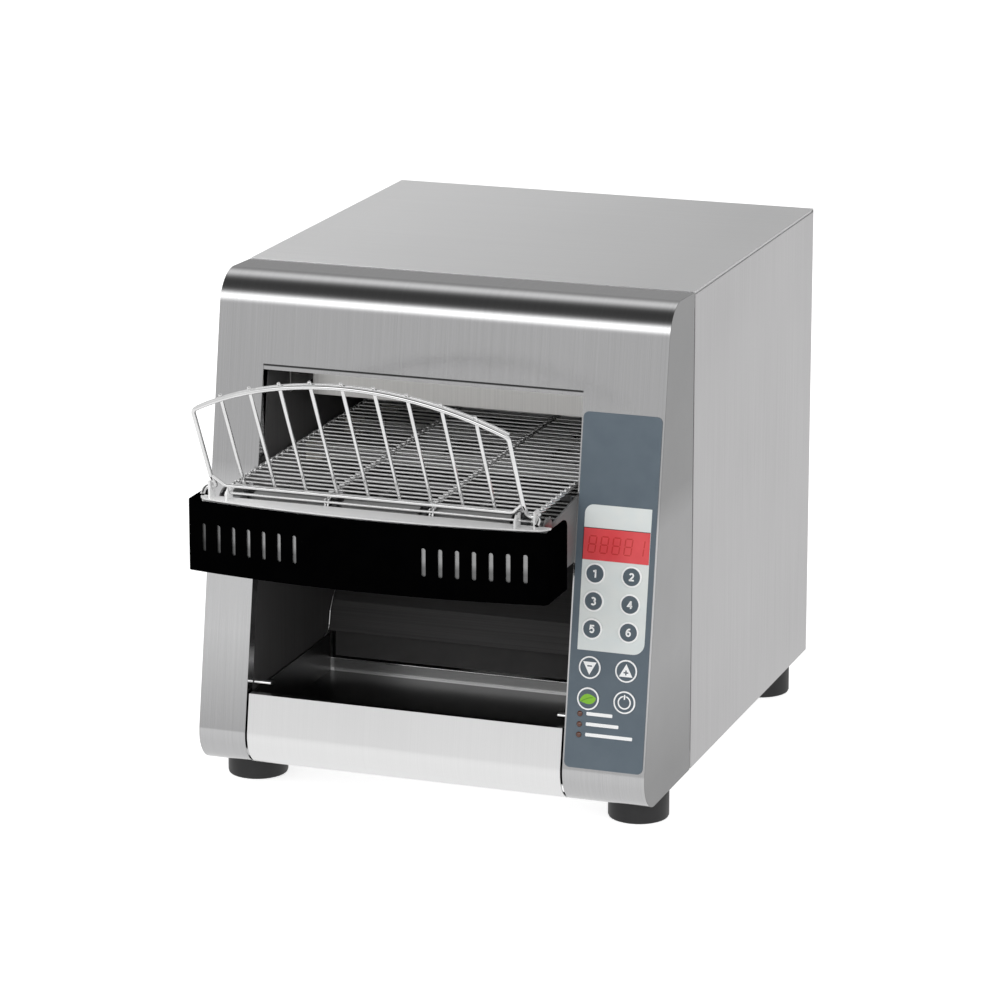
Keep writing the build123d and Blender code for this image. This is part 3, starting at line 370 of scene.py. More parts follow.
def outwards(obj):
    startEdit(obj)
    chooseAll()
    bpy.ops.mesh.remove_doubles(threshold=1e-6)
    bpy.ops.mesh.normals_make_consistent(inside=False)
    endEdit()


def joined(pieces):
    only(pieces[0])
    for piece in pieces[1:]:
        piece.select_set(True)
    if len(pieces) > 1:
        bpy.ops.object.join()
    return pieces[0]


def repeated(source, places):  # one finished shape, set down at each place with its own mesh
    copies = []
    for place in places:
        piece = source.copy()
        piece.data = source.data.copy()
        piece.data.transform(place)
        bpy.context.collection.objects.link(piece)
        copies.append(piece)
    only(source)
    bpy.ops.object.delete()
    return joined(copies)


def settle(obj, name, material, node, replaces=False):  # on the node's body, with the given material
    body, slot = bodyOfNode[node], slotOfNode[node]
    obj.name = name
    obj.data.name = name
    obj.data.materials.clear()
    obj.data.materials.append(material)
    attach(obj, body)
    if replaces:
        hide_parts(node)


def rounded(points, radius, steps=4):  # a path whose corners are turned by arcs
    path = [points[0]]
    for before, corner, after in zip(points, points[1:], points[2:]):
        arrive, leave = (corner - before).normalized(), (after - corner).normalized()
        turn = arrive.angle(leave)
        if turn < 0.05:  # nearly straight on
            path.append(corner)
            continue
        room = 0.49 * min((corner - before).length, (after - corner).length)  # two arcs never meet
        reach = min(radius * mm * math.tan(turn / 2), room)
        start, finish = corner - arrive * reach, corner + leave * reach
        centre = corner + (leave - arrive).normalized() * reach / math.sin(turn / 2)
        a, b = start - centre, finish - centre
        for k in evenly(0, 1, steps):
            path.append(centre + (a * math.sin((1 - k) * turn) + b * math.sin(k * turn)) / math.sin(turn))
    path.append(points[-1])
    return path


def polyLine(points):  # a curve of straight parts
    bpy.ops.curve.primitive_bezier_curve_add(location=(0, 0, 0))
    curve = bpy.context.object.data
    curve.splines.clear()
    line = curve.splines.new("POLY")
    line.points.add(len(points) - 1)
    for knot, point in zip(line.points, points):
        knot.co = (*point, 1)
    return curve


def bentWire(points, radius, fineness=3):
    curve = polyLine(points)
    curve.dimensions = "3D"
    curve.bevel_depth = radius * mm
    curve.bevel_resolution = fineness
    curve.use_fill_caps = True
    bpy.ops.object.convert(target="MESH")
    wire = bpy.context.object
    outwards(wire)
    smooth(wire, 50)
    return wire


# CAD sheets copied, merged and given the small edge radius of pressed metal
sheetEdges = {
    "front_panel": 0.8, "top_panel": 0.6, "left_side_panel": 0.5, "right_side_panel": 0.5, "rear_panel": 0.3,
    "base_pan": 0.4, "collector_tray": 0.5, "front_ledge": 0.4, "left_rail": 0.4, "right_rail": 0.4,
    "upper_reflector": 0.35, "left_liner": 0.35, "right_liner": 0.35, "return_chute": 0.35,
    "front_left_foot": 2.0, "front_right_foot": 2.0, "rear_left_foot": 2.0, "rear_right_foot": 2.0,
}
sheetTrims = {"left_side_panel": (2.0, 1.7), "right_side_panel": (2.0, 1.7)}  # gaps in front and above
trimReach = 2.0  # vertices this near to the front and the top edge follow the trim
hoodDrop = 1.2  # the hood's rear edge lies this much under the top panel
reflectorLip = {"left": -133.0, "depth": 9.0, "inset": 8.0}  # the lip's left end moves in


def trimSheet(node, vertices):
    low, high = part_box(node)
    front, top = sheetTrims.get(node, (0, 0))
    for spot in (vertex.co for vertex in vertices):
        if spot.y < low.y + trimReach * mm:
            spot.y += front * mm
        if spot.z > high.z - trimReach * mm:
            spot.z -= top * mm
        if (node == "upper_reflector" and spot.y < low.y + reflectorLip["depth"] * mm
                and abs(spot.x - reflectorLip["left"] * mm) < 0.5 * mm):
            spot.x += reflectorLip["inset"] * mm
        if node == "front_panel" and spot.z > high.z - 0.3 * mm and spot.y > high.y - trimReach * mm:
            spot.z -= hoodDrop * mm


def softenedSheet(node, width):
    piece = bpy.data.objects.new(node, nodes[node].data.copy())
    bpy.context.collection.objects.link(piece)
    trimSheet(node, piece.data.vertices)
    startEdit(piece)
    chooseAll()
    bpy.ops.mesh.remove_doubles(threshold=1e-5)
    bpy.ops.mesh.dissolve_limited(angle_limit=math.radians(0.5))
    endEdit()
    bevelled(piece, width, 28)
    smooth(piece, 28)
    modified(piece, "WEIGHTED_NORMAL", keep_sharp=True, weight=100)
    settle(piece, node.replace("_", "") + "Skin", materialOfNode[node], node, True)


for node, width in sheetEdges.items():
    softenedSheet(node, width)
print("stage: sheet edges")


# wire belt: one bent wire, set down once for each link of the loop
belt = {
    "width": 254.0, "pitch": 11.0, "wireRadius": 0.9, "bend": 1.3, "links": 36, "teeth": 8, "strands": 3,
    "centre": -13.5, "rearShaft": -93.0, "frontShaft": -489.0, "shaftHeight": 227.728,
    "hookRise": 1.85, "hookTurns": (-30, 15, 60, 105, 140), "hookInset": 3.0, "hookNeck": (2.04, 7.4, 0.2),
    "finger": ((0.95, 0, 0), (1.15, 2.4, 0), (0.95, 7.6, 0.3), (1.45, 9.4, 1.85), (1.45, 12.8, 1.85)),
}
wheelRadius = belt["pitch"] / 2 / math.sin(math.pi / belt["teeth"])


def beltLinkPoints():
    edge, rise = belt["width"] / 2 - belt["wireRadius"], belt["hookRise"]

    def endHook(side):  # from the curled end back to the corner
        inset, y, z = belt["hookNeck"]
        turns = (math.radians(a) for a in belt["hookTurns"])
        curl = [(side * (edge - belt["hookInset"]), belt["pitch"] + rise * math.cos(a), rise * math.sin(a))
                for a in turns]
        return curl + [(side * (edge - inset), y, z), (side * edge, 0, 0)]

    points = endHook(-1)
    for i in range(1, belt["strands"]):  # a finger out over the next wire and back, left to right
        middle = belt["width"] * (i / belt["strands"] - 0.5)
        for side, half in ((-1, belt["finger"]), (1, belt["finger"][::-1])):
            points += [(middle + side * x, y, z) for x, y, z in half]
    return [Vector(p) * mm for p in points + endHook(1)[::-1]]


def beltLinkPlaces():
    step, high = 2 * math.pi / belt["teeth"], belt["shaftHeight"]
    points = []
    for start, end, side in (("rear", "front", 1), ("front", "rear", -1)):  # the upper run, then the lower
        start, end = belt[start + "Shaft"], belt[end + "Shaft"]
        run = [start - side * i * belt["pitch"] for i in range(belt["links"])]
        points += [(depth, high + side * wheelRadius) for depth in run]
        turns = [side * math.pi / 2 + i * step for i in range(belt["teeth"] // 2)]
        points += [(end + wheelRadius * math.cos(a), high + wheelRadius * math.sin(a)) for a in turns]
    places = []
    for here, there in zip(points, points[1:] + points[:1]):
        along = Vector((0, there[0] - here[0], there[1] - here[1])).normalized()
        across = Vector((-1, 0, 0))
        turn = Matrix((across, along, across.cross(along))).transposed().to_4x4()
        places.append(Matrix.Translation(at(belt["centre"], *here)) @ turn)
    return places


link = bentWire(rounded(beltLinkPoints(), belt["bend"], 2), belt["wireRadius"], 2)
settle(repeated(link, beltLinkPlaces()), "wireBelt", beltWire, "wire_belt", True)
print("stage: belt")


# toothed wheels under the belt
beltWheel = {"rootRadius": 13.0, "tipRadius": 16.4, "width": 4.0, "hubRadius": 8.5, "hubReach": 4.0,
             "toothHalf": 9.0, "edge": 0.4, "spread": (-110.0, -36.53, 36.53, 110.0)}


def makeBeltWheel():
    w, teeth = beltWheel, belt["teeth"]
    toothTurn = 360 / teeth
    wheel = cylinder(teeth * 8, w["rootRadius"], w["width"])
    startEdit(wheel)

    def onTooth(f):
        middle = f.calc_center_median()
        angle = math.degrees(math.atan2(middle.y, middle.x)) % toothTurn
        return abs(f.normal.z) < 0.5 and abs(angle - toothTurn / 2) < w["toothHalf"]

    for _ in range(2):
        choose(wheel, "faces", onTooth)
        swell((w["tipRadius"] - w["rootRadius"]) / 2)
    choose(wheel, "faces", lambda f: abs(f.normal.z) > 0.9 and f.calc_area() > 1e-4)
    bpy.ops.mesh.inset(thickness=(w["rootRadius"] - w["hubRadius"]) * mm)
    swell(w["hubReach"])
    endEdit()
    bevelled(wheel, w["edge"], 30)
    smooth(wheel, 40)
    return wheel


def alongShaft(piece, shaft, spread):
    depth, height, turn = belt[shaft + "Shaft"], belt["shaftHeight"], Matrix.Rotation(math.pi / 2, 4, "Y")
    return repeated(piece, [Matrix.Translation(at(belt["centre"] + x, depth, height)) @ turn for x in spread])


for shaft, node in (("rear", "drive_belt_sprockets"), ("front", "idler_belt_sprockets")):
    wheels = alongShaft(makeBeltWheel(), shaft, beltWheel["spread"])
    settle(wheels, shaft + "BeltWheels", wheelSteel, node, True)

# smooth tubes on the front shaft between the wheels, under the turn of the belt
noseTube = {"radius": 11.9, "length": 62.0, "wall": 1.2, "edge": 0.3, "spread": (-73.3, 0.0, 73.3)}


def makeNoseTube():
    t = noseTube
    tube = cylinder(64, t["radius"], t["length"])
    startEdit(tube)
    choose(tube, "faces", lambda f: abs(f.normal.z) > 0.9)
    bpy.ops.mesh.inset(thickness=t["wall"] * mm)
    swell(-t["wall"])
    endEdit()
    bevelled(tube, t["edge"], 40)
    smooth(tube, 30)
    return alongShaft(tube, "front", t["spread"])


settle(makeNoseTube(), "noseTube", tubeSteel, "idler_belt_sprockets")
print("stage: belt wheels")


# loading rack: bowed frame, lower rail, cranked feet and welded slats
rack = {
    "centre": -14.6, "bendDepth": 525.3, "bendHeight": 258.6, "lean": 28.7, "pivotDepth": 514.0,
    "pivotHeight": 246.5, "half": 125.2, "leg": 66.5, "rise": 35.0, "corner": 6.5, "wire": 1.75,
    "footHalf": 134.5, "toeForward": 6.5, "toeDown": 5.0, "railDrop": 9.6, "railEnd": 9.5, "railWire": 1.3,
    "railStart": 0.5, "railCorner": 5.0, "slatWire": 1.4, "slats": 9, "slatPitch": 25.2, "slatTip": 3.0,
    "guideWire": 0.85, "backWire": 1.0, "backInset": 1.2, "backDrop": 2.2, "slatEdge": 1.1, "bowSteps": 26,
}


def onRack(u, v, w=0.0):  # across, up the leaning frame and behind it
    lean = math.radians(rack["lean"])
    forward, up = v * math.sin(lean) - w * math.cos(lean), v * math.cos(lean) + w * math.sin(lean)
    return at(rack["centre"] + u, -rack["bendDepth"] - forward, rack["bendHeight"] + up)


def rackBow(u):
    radius = (rack["half"] ** 2 + rack["rise"] ** 2) / 2 / rack["rise"]
    return rack["leg"] + rack["rise"] - radius + math.sqrt(radius ** 2 - u ** 2)


def bowPath(reach, drop=0.0, behind=0.0):
    return [onRack(u, rackBow(u) - drop, behind) for u in evenly(-reach, reach, rack["bowSteps"])]


def makeRackFrame():
    half, rail = rack["half"], rack["railDrop"]

    def foot(side):
        pin = at(rack["centre"] + side * rack["footHalf"], -rack["pivotDepth"], rack["pivotHeight"])
        toe = pin + Vector((0, -rack["toeForward"], -rack["toeDown"])) * mm
        ear = at(rack["centre"] + side * half, -rack["pivotDepth"], rack["pivotHeight"])
        return [toe, pin, ear, onRack(side * half, 0)]

    path = foot(-1) + bowPath(half) + foot(1)[::-1]
    frameWire = bentWire(rounded(path, rack["corner"], 6), rack["wire"], 4)
    ends = ((-half, rack["railStart"]), (rack["railEnd"] - half, -rail), (half - rack["railEnd"], -rail),
            (half, rack["railStart"]))
    railWire = bentWire(rounded([onRack(u, v) for u, v in ends], rack["railCorner"]), rack["railWire"])
    behind = rack["wire"] + 2 * rack["slatWire"] + rack["backWire"]
    backWire = bentWire(bowPath(half - rack["backInset"], rack["backDrop"], behind), rack["backWire"])
    return joined([frameWire, railWire, backWire])


def makeRackSlats():
    slats = []
    behind = rack["wire"] + rack["slatWire"]
    lean = math.radians(rack["lean"])
    for i in range(rack["slats"]):
        u = rack["slatPitch"] * (i - (rack["slats"] - 1) / 2)
        low, high = -rack["railDrop"], rackBow(u) + rack["slatTip"]
        slat = cylinder(14, rack["slatWire"], high - low)
        startEdit(slat)
        choose(slat, "edges", lambda e: abs(e.verts[0].co.z - e.verts[1].co.z) < 1e-6)
        bpy.ops.mesh.bevel(offset=rack["slatEdge"] * mm, segments=3)
        endEdit()
        middle = onRack(u, (low + high) / 2, behind)
        slat.data.transform(Matrix.Translation(middle) @ Matrix.Rotation(lean, 4, "X"))
        smooth(slat, 50)
        slats.append(slat)
    return joined(slats)


def makeGuideRod():
    low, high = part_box("guide_rod")
    middle = (low + high) / 2
    return bentWire([Vector((x, middle.y, middle.z)) for x in (low.x, high.x)], rack["guideWire"])


settle(makeGuideRod(), "guideRod", brightWire, "guide_rod", True)
settle(makeRackFrame(), "rackFrame", brightWire, "loading_rack", True)
settle(makeRackSlats(), "rackSlats", brightWire, "rack_slats", True)
print("stage: loading rack")


# bowed front cover with its slots
cover = {
    "middle": -17.25, "half": 145.05, "bottom": 180.2, "height": 55.6, "sheet": 1.5, "cornerDepth": 519.0,
    "bow": 13.0, "corner": 4.0, "returnDepth": 473.0, "endRadius": 7.0, "slotWidth": 3.7, "slotLength": 22.5,
    "slotStarts": (-70.6, 33.6), "slotPitches": (-12.95, 12.95), "slotsPerSide": 7, "slotHeight": 207.4,
    "slotDepth": 500.0, "slotReach": 50.0, "bowSteps": 32, "edge": 0.35,
    "stripGap": 1.6, "stripEnd": 9.0, "stripBottom": 192.0, "stripTop": 226.0, "stripSheet": 0.8,
}


def bowLine(reach, height, gap=0.0):  # the cover's bowed front, out to a distance from its middle
    bow = cover["bow"]
    radius = (cover["half"] ** 2 + bow ** 2) / 2 / bow
    nose = gap - cover["cornerDepth"] - bow + radius
    return [at(cover["middle"] + u, nose - math.sqrt(radius ** 2 - u ** 2), height)
            for u in evenly(-reach, reach, cover["bowSteps"])]


def coverLine():
    half = cover["half"]
    front = bowLine(half - 2 * cover["corner"], cover["bottom"])
    corners = [bowLine(half, cover["bottom"])[i] for i in (0, -1)]
    ends = [at(cover["middle"] + x, -cover["returnDepth"], cover["bottom"]) for x in (-half, half)]
    return rounded([ends[0], corners[0]] + front + [corners[1], ends[1]], cover["corner"], 8)


def raisedSheet(points, height):  # a sheet standing on a line
    polyLine(points)
    bpy.ops.object.convert(target="MESH")
    piece = bpy.context.object
    startEdit(piece)
    chooseAll()
    bpy.ops.mesh.extrude_edges_move(TRANSFORM_OT_translate={"value": (0, 0, height * mm)})
    endEdit()
    return piece


def roundSlot(width, length, depth):
    slot = plane(width * mm, length * mm)
    chooseAll()
    roundCorners(0.495 * width, 5)
    thicken(depth)
    endEdit()
    outwards(slot)
    return slot


def makeCover():
    piece = raisedSheet(coverLine(), cover["height"])
    startEdit(piece)
    top, rear = underside + (cover["bottom"] + cover["height"]) * mm, rearFace - cover["returnDepth"] * mm
    choose(piece, "verts", lambda v: abs(v.co.z - top) < 1e-5 and abs(v.co.y - rear) < 1e-5)
    roundCorners(cover["endRadius"], 5)
    endEdit()
    outwards(piece)
    modified(piece, "SOLIDIFY", thickness=cover["sheet"] * mm, offset=-1.0, use_even_offset=True)
    turn = Matrix.Rotation(math.radians(90), 4, "X")
    places = [Matrix.Translation(at(start + i * pitch, -cover["slotDepth"], cover["slotHeight"])) @ turn
              for start, pitch in zip(cover["slotStarts"], cover["slotPitches"])
              for i in range(cover["slotsPerSide"])]
    slots = repeated(roundSlot(cover["slotWidth"], cover["slotLength"], cover["slotReach"]), places)
    modified(piece, "BOOLEAN", object=slots, operation="DIFFERENCE", solver="EXACT")
    only(slots)
    bpy.ops.object.delete()
    bevelled(piece, cover["edge"], 50)
    smooth(piece, 30)
    return piece


def makeSlotStrip():  # bright sheet behind the slots
    low, high = cover["stripBottom"], cover["stripTop"]
    strip = raisedSheet(bowLine(cover["half"] - cover["stripEnd"], low, cover["stripGap"]), high - low)
    modified(strip, "SOLIDIFY", thickness=cover["stripSheet"] * mm, offset=1.0)
    outwards(strip)
    return strip


settle(makeCover(), "bowedCover", blackPaint, "front_cover", True)
settle(makeSlotStrip(), "slotStrip", slotSheet, "front_ledge")
print("stage: front cover")


# hems of the tray, the pins beside it and the folded lip of the return chute
pan = {
    "left": -143.0, "right": 116.0, "wallTop": 61.0, "wallFront": -446.0, "wallRear": -276.0,
    "rearTop": 39.9, "hem": 0.7, "sideHem": 0.42, "pinRadius": 2.2, "pinDepth": 433.5, "pinHeight": 66.5,
    "pins": ((-145.0, -130.5), (118.0, 107.5)), "lip": (-139.5, 112.5, 42.0, 63.0), "lipDepth": 274.3,
    "lipSheet": 0.8, "pinEdge": 0.6, "lipEdge": 0.2, "edgeGap": 0.8, "edgeWire": 0.8, "edgeBend": 8.0,
    "edge": ((-291.0, 61.8), (-281.0, 63.6), (-278.0, 69.0), (-275.5, 80.5), (-268.0, 91.5), (-258.0, 100.0)),
}


def makeHems():
    rear = [at(pan[side], pan["wallRear"], pan["rearTop"]) for side in ("left", "right")]
    hems = [bentWire(rear, pan["hem"], 2)]
    for side in ("left", "right"):
        line = [at(pan[side], pan[depth], pan["wallTop"]) for depth in ("wallFront", "wallRear")]
        hems.append(bentWire(line, pan["sideHem"], 2))
    return joined(hems)


def makePins():
    pins = []
    for ends in pan["pins"]:
        pin = bentWire([at(x, -pan["pinDepth"], pan["pinHeight"]) for x in ends], pan["pinRadius"], 4)
        bevelled(pin, pan["pinEdge"], 60, 3)
        pins.append(pin)
    return joined(pins)


def makeChuteLip():
    left, right, low, high = pan["lip"]
    bpy.ops.mesh.primitive_cube_add(size=1)
    lip = bpy.context.object
    startEdit(lip)
    bpy.ops.transform.resize(value=((right - left) * mm, pan["lipSheet"] * mm, (high - low) * mm))
    endEdit()
    lip.data.transform(Matrix.Translation(at((left + right) / 2, -pan["lipDepth"], (low + high) / 2)))
    bevelled(lip, pan["lipEdge"], 40)
    return lip


def makeChuteEdge():
    line = [at(pan["left"] - pan["edgeGap"], y, z) for y, z in pan["edge"]]
    return bentWire(rounded(line, pan["edgeBend"], 5), pan["edgeWire"], 2)


settle(makeHems(), "trayHems", brightWire, "collector_tray")
settle(makePins(), "trayPins", brightWire, "tray_pins", True)
settle(makeChuteLip(), "chuteLip", darkSteel, "return_chute")
settle(makeChuteEdge(), "chuteEdge", brightWire, "return_chute")
print("stage: tray hems, pins and chute lip")


# control column: everything is laid out on the slanted face
def onFace(x, height, lift):
    slope = math.radians(face["slope"])
    depth = face["anchorDepth"] + (face["anchorHeight"] - height) * faceTangent
    normal = Vector((0, -math.cos(slope), math.sin(slope)))
    across = Vector((1, 0, 0))
    turn = Matrix((across, normal.cross(across), normal)).transposed().to_4x4()
    return Matrix.Translation(at(x, -depth, height) + normal * lift * mm) @ turn


def upFace(length):  # a height on the body, measured along the slanted face
    return length / math.cos(math.radians(face["slope"]))


def filmPiece(left, right, bottom, top, lift, thickness, corners=(0, 0, 0, 0), edge=0.0):
    # a flat printed or moulded plate; corners are top left, top right, bottom right and bottom left
    width, height = (right - left) * mm, upFace(top - bottom) * mm
    plate = plane(width, height)
    for radius, (sideX, sideY) in zip(corners, ((-1, 1), (1, 1), (1, -1), (-1, -1))):
        if radius:
            spot = Vector((sideX * width / 2, sideY * height / 2, 0))
            choose(plate, "verts", lambda v: (v.co - spot).length < 1e-6)
            roundCorners(radius, 8)
    thicken(thickness)
    endEdit()
    outwards(plate)
    if edge:
        bevelled(plate, edge, 50)
    plate.data.transform(onFace((left + right) / 2, (bottom + top) / 2, lift))
    return plate


def roundPiece(radius, thickness, edge, place, dome=0.0):
    disc = cylinder(48, radius, thickness)
    disc.data.transform(Matrix.Translation((0, 0, thickness * mm / 2)))
    startEdit(disc)
    choose(disc, "faces", lambda f: f.normal.z > 0.9)
    if dome:
        for share in (0.82, 0.55, 0.25):
            bpy.ops.mesh.extrude_region_move(TRANSFORM_OT_translate={"value": (0, 0, dome * mm / 3)})
            bpy.ops.transform.resize(value=(share, share, 1), center_override=(0, 0, 0))
    endEdit()
    if edge:
        bevelled(disc, edge, 50)
    smooth(disc, 40)
    disc.data.transform(place)
    return disc


def ringPiece(outer, inner, thickness, place):
    bpy.ops.mesh.primitive_torus_add(major_segments=48, minor_segments=4,
                                     major_radius=(outer + inner) / 2 * mm,
                                     minor_radius=(outer - inner) / 2 * mm)
    ring = bpy.context.object
    startEdit(ring)
    chooseAll()
    bpy.ops.transform.resize(value=(1, 1, thickness / (outer - inner)))
    endEdit()
    smooth(ring, 40)
    ring.data.transform(place @ Matrix.Translation((0, 0, thickness / 2 * mm)))
    return ring


def flatShape(points, thickness, place):
    # a flat figure from its outline, drawn in millimetres and raised a little
    bpy.ops.mesh.primitive_circle_add(vertices=len(points), radius=mm, fill_type="NGON")
    shape = bpy.context.object
    for spot, point in zip(shape.data.vertices, points):
        spot.co = (point[0] * mm, point[1] * mm, 0)
    startEdit(shape)
    thicken(thickness)
    endEdit()
    outwards(shape)
    shape.data.transform(place)
    return shape


def arc(x, y, radiusX, radiusY, start, end, steps=10):
    turns = (math.radians(a) for a in evenly(start, end, steps))
    return [(x + radiusX * math.cos(a), y + radiusY * math.sin(a)) for a in turns]


def strokeShape(points, width, thickness, place):  # a printed line of even width
    left, right = [], []
    path = [Vector(p) for p in points]
    for i, spot in enumerate(path):
        before = (spot - path[i - 1]).normalized() if i else None
        after = (path[i + 1] - spot).normalized() if i + 1 < len(path) else None
        along = before + after if before and after else before or after
        side = Vector((-along.y, along.x)).normalized()
        other = after or before
        reach = width / 2 / max(0.5, side.dot(Vector((-other.y, other.x))))
        left.append(spot + side * reach)
        right.append(spot - side * reach)
    return flatShape(left + right[::-1], thickness, place)


digitStrokes = {
    "1": [[(0.45, -3.1), (0.45, 3.1)], [(0.6, 2.75), (-0.2, 2.1), (-1.5, 1.6)]],
    "2": [arc(0.0, 1.15, 1.4, 1.4, 165, -38) + [(-1.5, -2.6)], [(-2.05, -2.5), (2.05, -2.5)]],
    "3": [arc(-0.1, 1.35, 1.4, 1.25, 150, -80), arc(-0.1, -1.25, 1.6, 1.35, 80, -150)],
    "4": [[(0.75, -3.1), (0.75, 2.9)], [(0.75, 2.7), (-1.6, -1.15), (2.0, -1.15)]],
    "5": [[(1.75, 2.57), (-1.1, 2.57), (-1.4, 0.2)] + arc(-0.05, -0.85, 1.55, 1.75, 125, -150)],
    "6": [arc(0.0, -1.05, 1.5, 1.55, 0, 359, 20), arc(0.75, -0.6, 2.25, 3.2, 175, 72)],
}


def digit(word, place):
    return joined([strokeShape(line, keys["digitWidth"], keys["print"], place)
                   for line in digitStrokes[word]])


def segmentDigit(segments, place):  # one digit of a numeric display
    w, h = (half / 2 for half in overlay["digit"])
    t = overlay["segment"]
    lines = {"a": ((-w, h), (w, h)), "b": ((w, h), (w, 0)), "c": ((w, 0), (w, -h)), "d": ((-w, -h), (w, -h)),
             "e": ((-w, 0), (-w, -h)), "f": ((-w, h), (-w, 0)), "g": ((-w, 0), (w, 0))}
    bars = []
    for name in segments:
        start, end = (Vector(p) for p in lines[name])
        along = (end - start).normalized() * 0.75 * t
        side = Vector((-along.y, along.x)).normalized() * t / 2
        tips = (start + along * 0.4, start + along + side, end - along + side, end - along * 0.4,
                end - along - side, start + along - side)
        bars.append(flatShape([(p.x + p.y * overlay["slant"], p.y) for p in tips], 0.06, place))
    return joined(bars)


overlay = {
    "left": 119.4, "right": 182.3, "bottom": 32.9, "top": 303.0, "radius": 4.5, "edge": 0.2,
    "printDepth": 0.04, "panel": (125.0, 178.3, 123.0, 233.5), "panelRound": (7.0, 0.0, 9.0, 0.0),
    "window": (125.2, 178.0, 191.6, 215.6), "windowFrame": 0.45, "frameLift": 0.05, "frameThickness": 0.2,
    "paneLift": 0.1, "paneThickness": 0.4, "paneRound": 0.4, "paneEdge": 0.12,
    "digit": (5.6, 12.6), "segment": 0.9, "slant": 0.1, "digitStart": 7.2, "digitPitch": 9.6,
    "digitLift": 0.48, "segments": ("abcdefg",) * 4 + ("bc",),
    "labels": ((135.2, 156.0, 74.9), (135.2, 161.3, 67.0), (135.2, 172.8, 59.0)), "labelHeight": 2.6,
    "labelRound": 0.6,
}


def makeOverlay():
    o, film = overlay, face["film"]
    sheet = filmPiece(o["left"], o["right"], o["bottom"], o["top"], 0.0, film, (o["radius"],) * 4, o["edge"])
    settle(sheet, "overlayFilm", slateFilm, "control_overlay", True)
    panel = filmPiece(*o["panel"], film, o["printDepth"], o["panelRound"])
    settle(panel, "palePanelPrint", panelPrint, "control_overlay")
    left, right, bottom, top = o["window"]
    edge = o["windowFrame"]
    border = filmPiece(left - edge, right, bottom, top + edge, film + o["frameLift"], o["frameThickness"])
    settle(border, "windowBorder", blackPrint, "control_overlay")
    pane = filmPiece(left, right, bottom, top, film + o["paneLift"], o["paneThickness"],
                     (o["paneRound"],) * 4, o["paneEdge"])
    settle(pane, "windowPane", redWindow, "display_window", True)
    start, middle, lift = left + o["digitStart"], (bottom + top) / 2, film + o["digitLift"]
    digits = [segmentDigit(segments, onFace(start + i * o["digitPitch"], middle, lift))
              for i, segments in enumerate(o["segments"])]
    settle(joined(digits), "unlitDigits", segmentPrint, "display_window")
    half = o["labelHeight"] / 2
    bars = [filmPiece(a, b, z - half, z + half, film, o["printDepth"], (o["labelRound"],) * 4)
            for a, b, z in o["labels"]]
    settle(joined(bars), "lampBars", whitePrint, "control_overlay")


makeOverlay()
print("stage: control overlay")

keys = {
    "columns": (136.0, 165.2), "rows": (181.5, 160.6, 139.5, 110.2, 86.4), "gap": 0.35, "thickness": 0.6,
    "numberRadius": 8.2, "symbolRadius": 8.75, "capEdge": 0.12, "numberFilm": 6.85, "symbolFilm": 7.55,
    "filmThickness": 0.08, "print": 0.1, "thinPrint": 0.06, "digitWidth": 1.3,
    "arrow": ((-5.4, -4.4), (5.4, -4.4), (0, 5.6)), "signHalf": 1.9, "signWidth": 0.5, "signDrop": 1.2,
    "leaf": (13.2, 7.4), "veinStart": (-5.6, -2.2), "veinReach": (9.4, 3.6), "veinWidth": 0.55,
    "veinPrint": 0.05, "ring": (5.3, 4.2), "ringThickness": 0.2, "break": (1.5, 3.4, 5.6),
    "breakPrint": 0.16, "tick": (0.55, 2.2, 6.0),
    "names": (*"123456", "down", "up", "eco", "power"),
}


def leafOutline(width, height):  # a leaf whose tip curls up to the right
    upper = [(width * (t - 0.5), height * (0.62 * math.sin(math.pi * t ** 0.75) ** 0.9 + 0.42 * t - 0.30))
             for t in evenly(0, 1, 16)]
    lower = [(width * (0.5 - t), height * (0.12 - 0.42 * t - 0.50 * math.sin(math.pi * t ** 0.62)))
             for t in evenly(0, 1, 16)[1:-1]]
    return upper + lower


def veinOutline():
    (x, y), (across, up) = keys["veinStart"], keys["veinReach"]
    vein = [(x + across * t, y + up * math.sin(math.pi / 2 * t)) for t in evenly(0, 1, 8)]
    return [(p, q - keys["veinWidth"]) for p, q in vein] + vein[::-1]


def barOutline(half, low, high):
    return [(-half, low), (half, low), (half, high), (-half, high)]


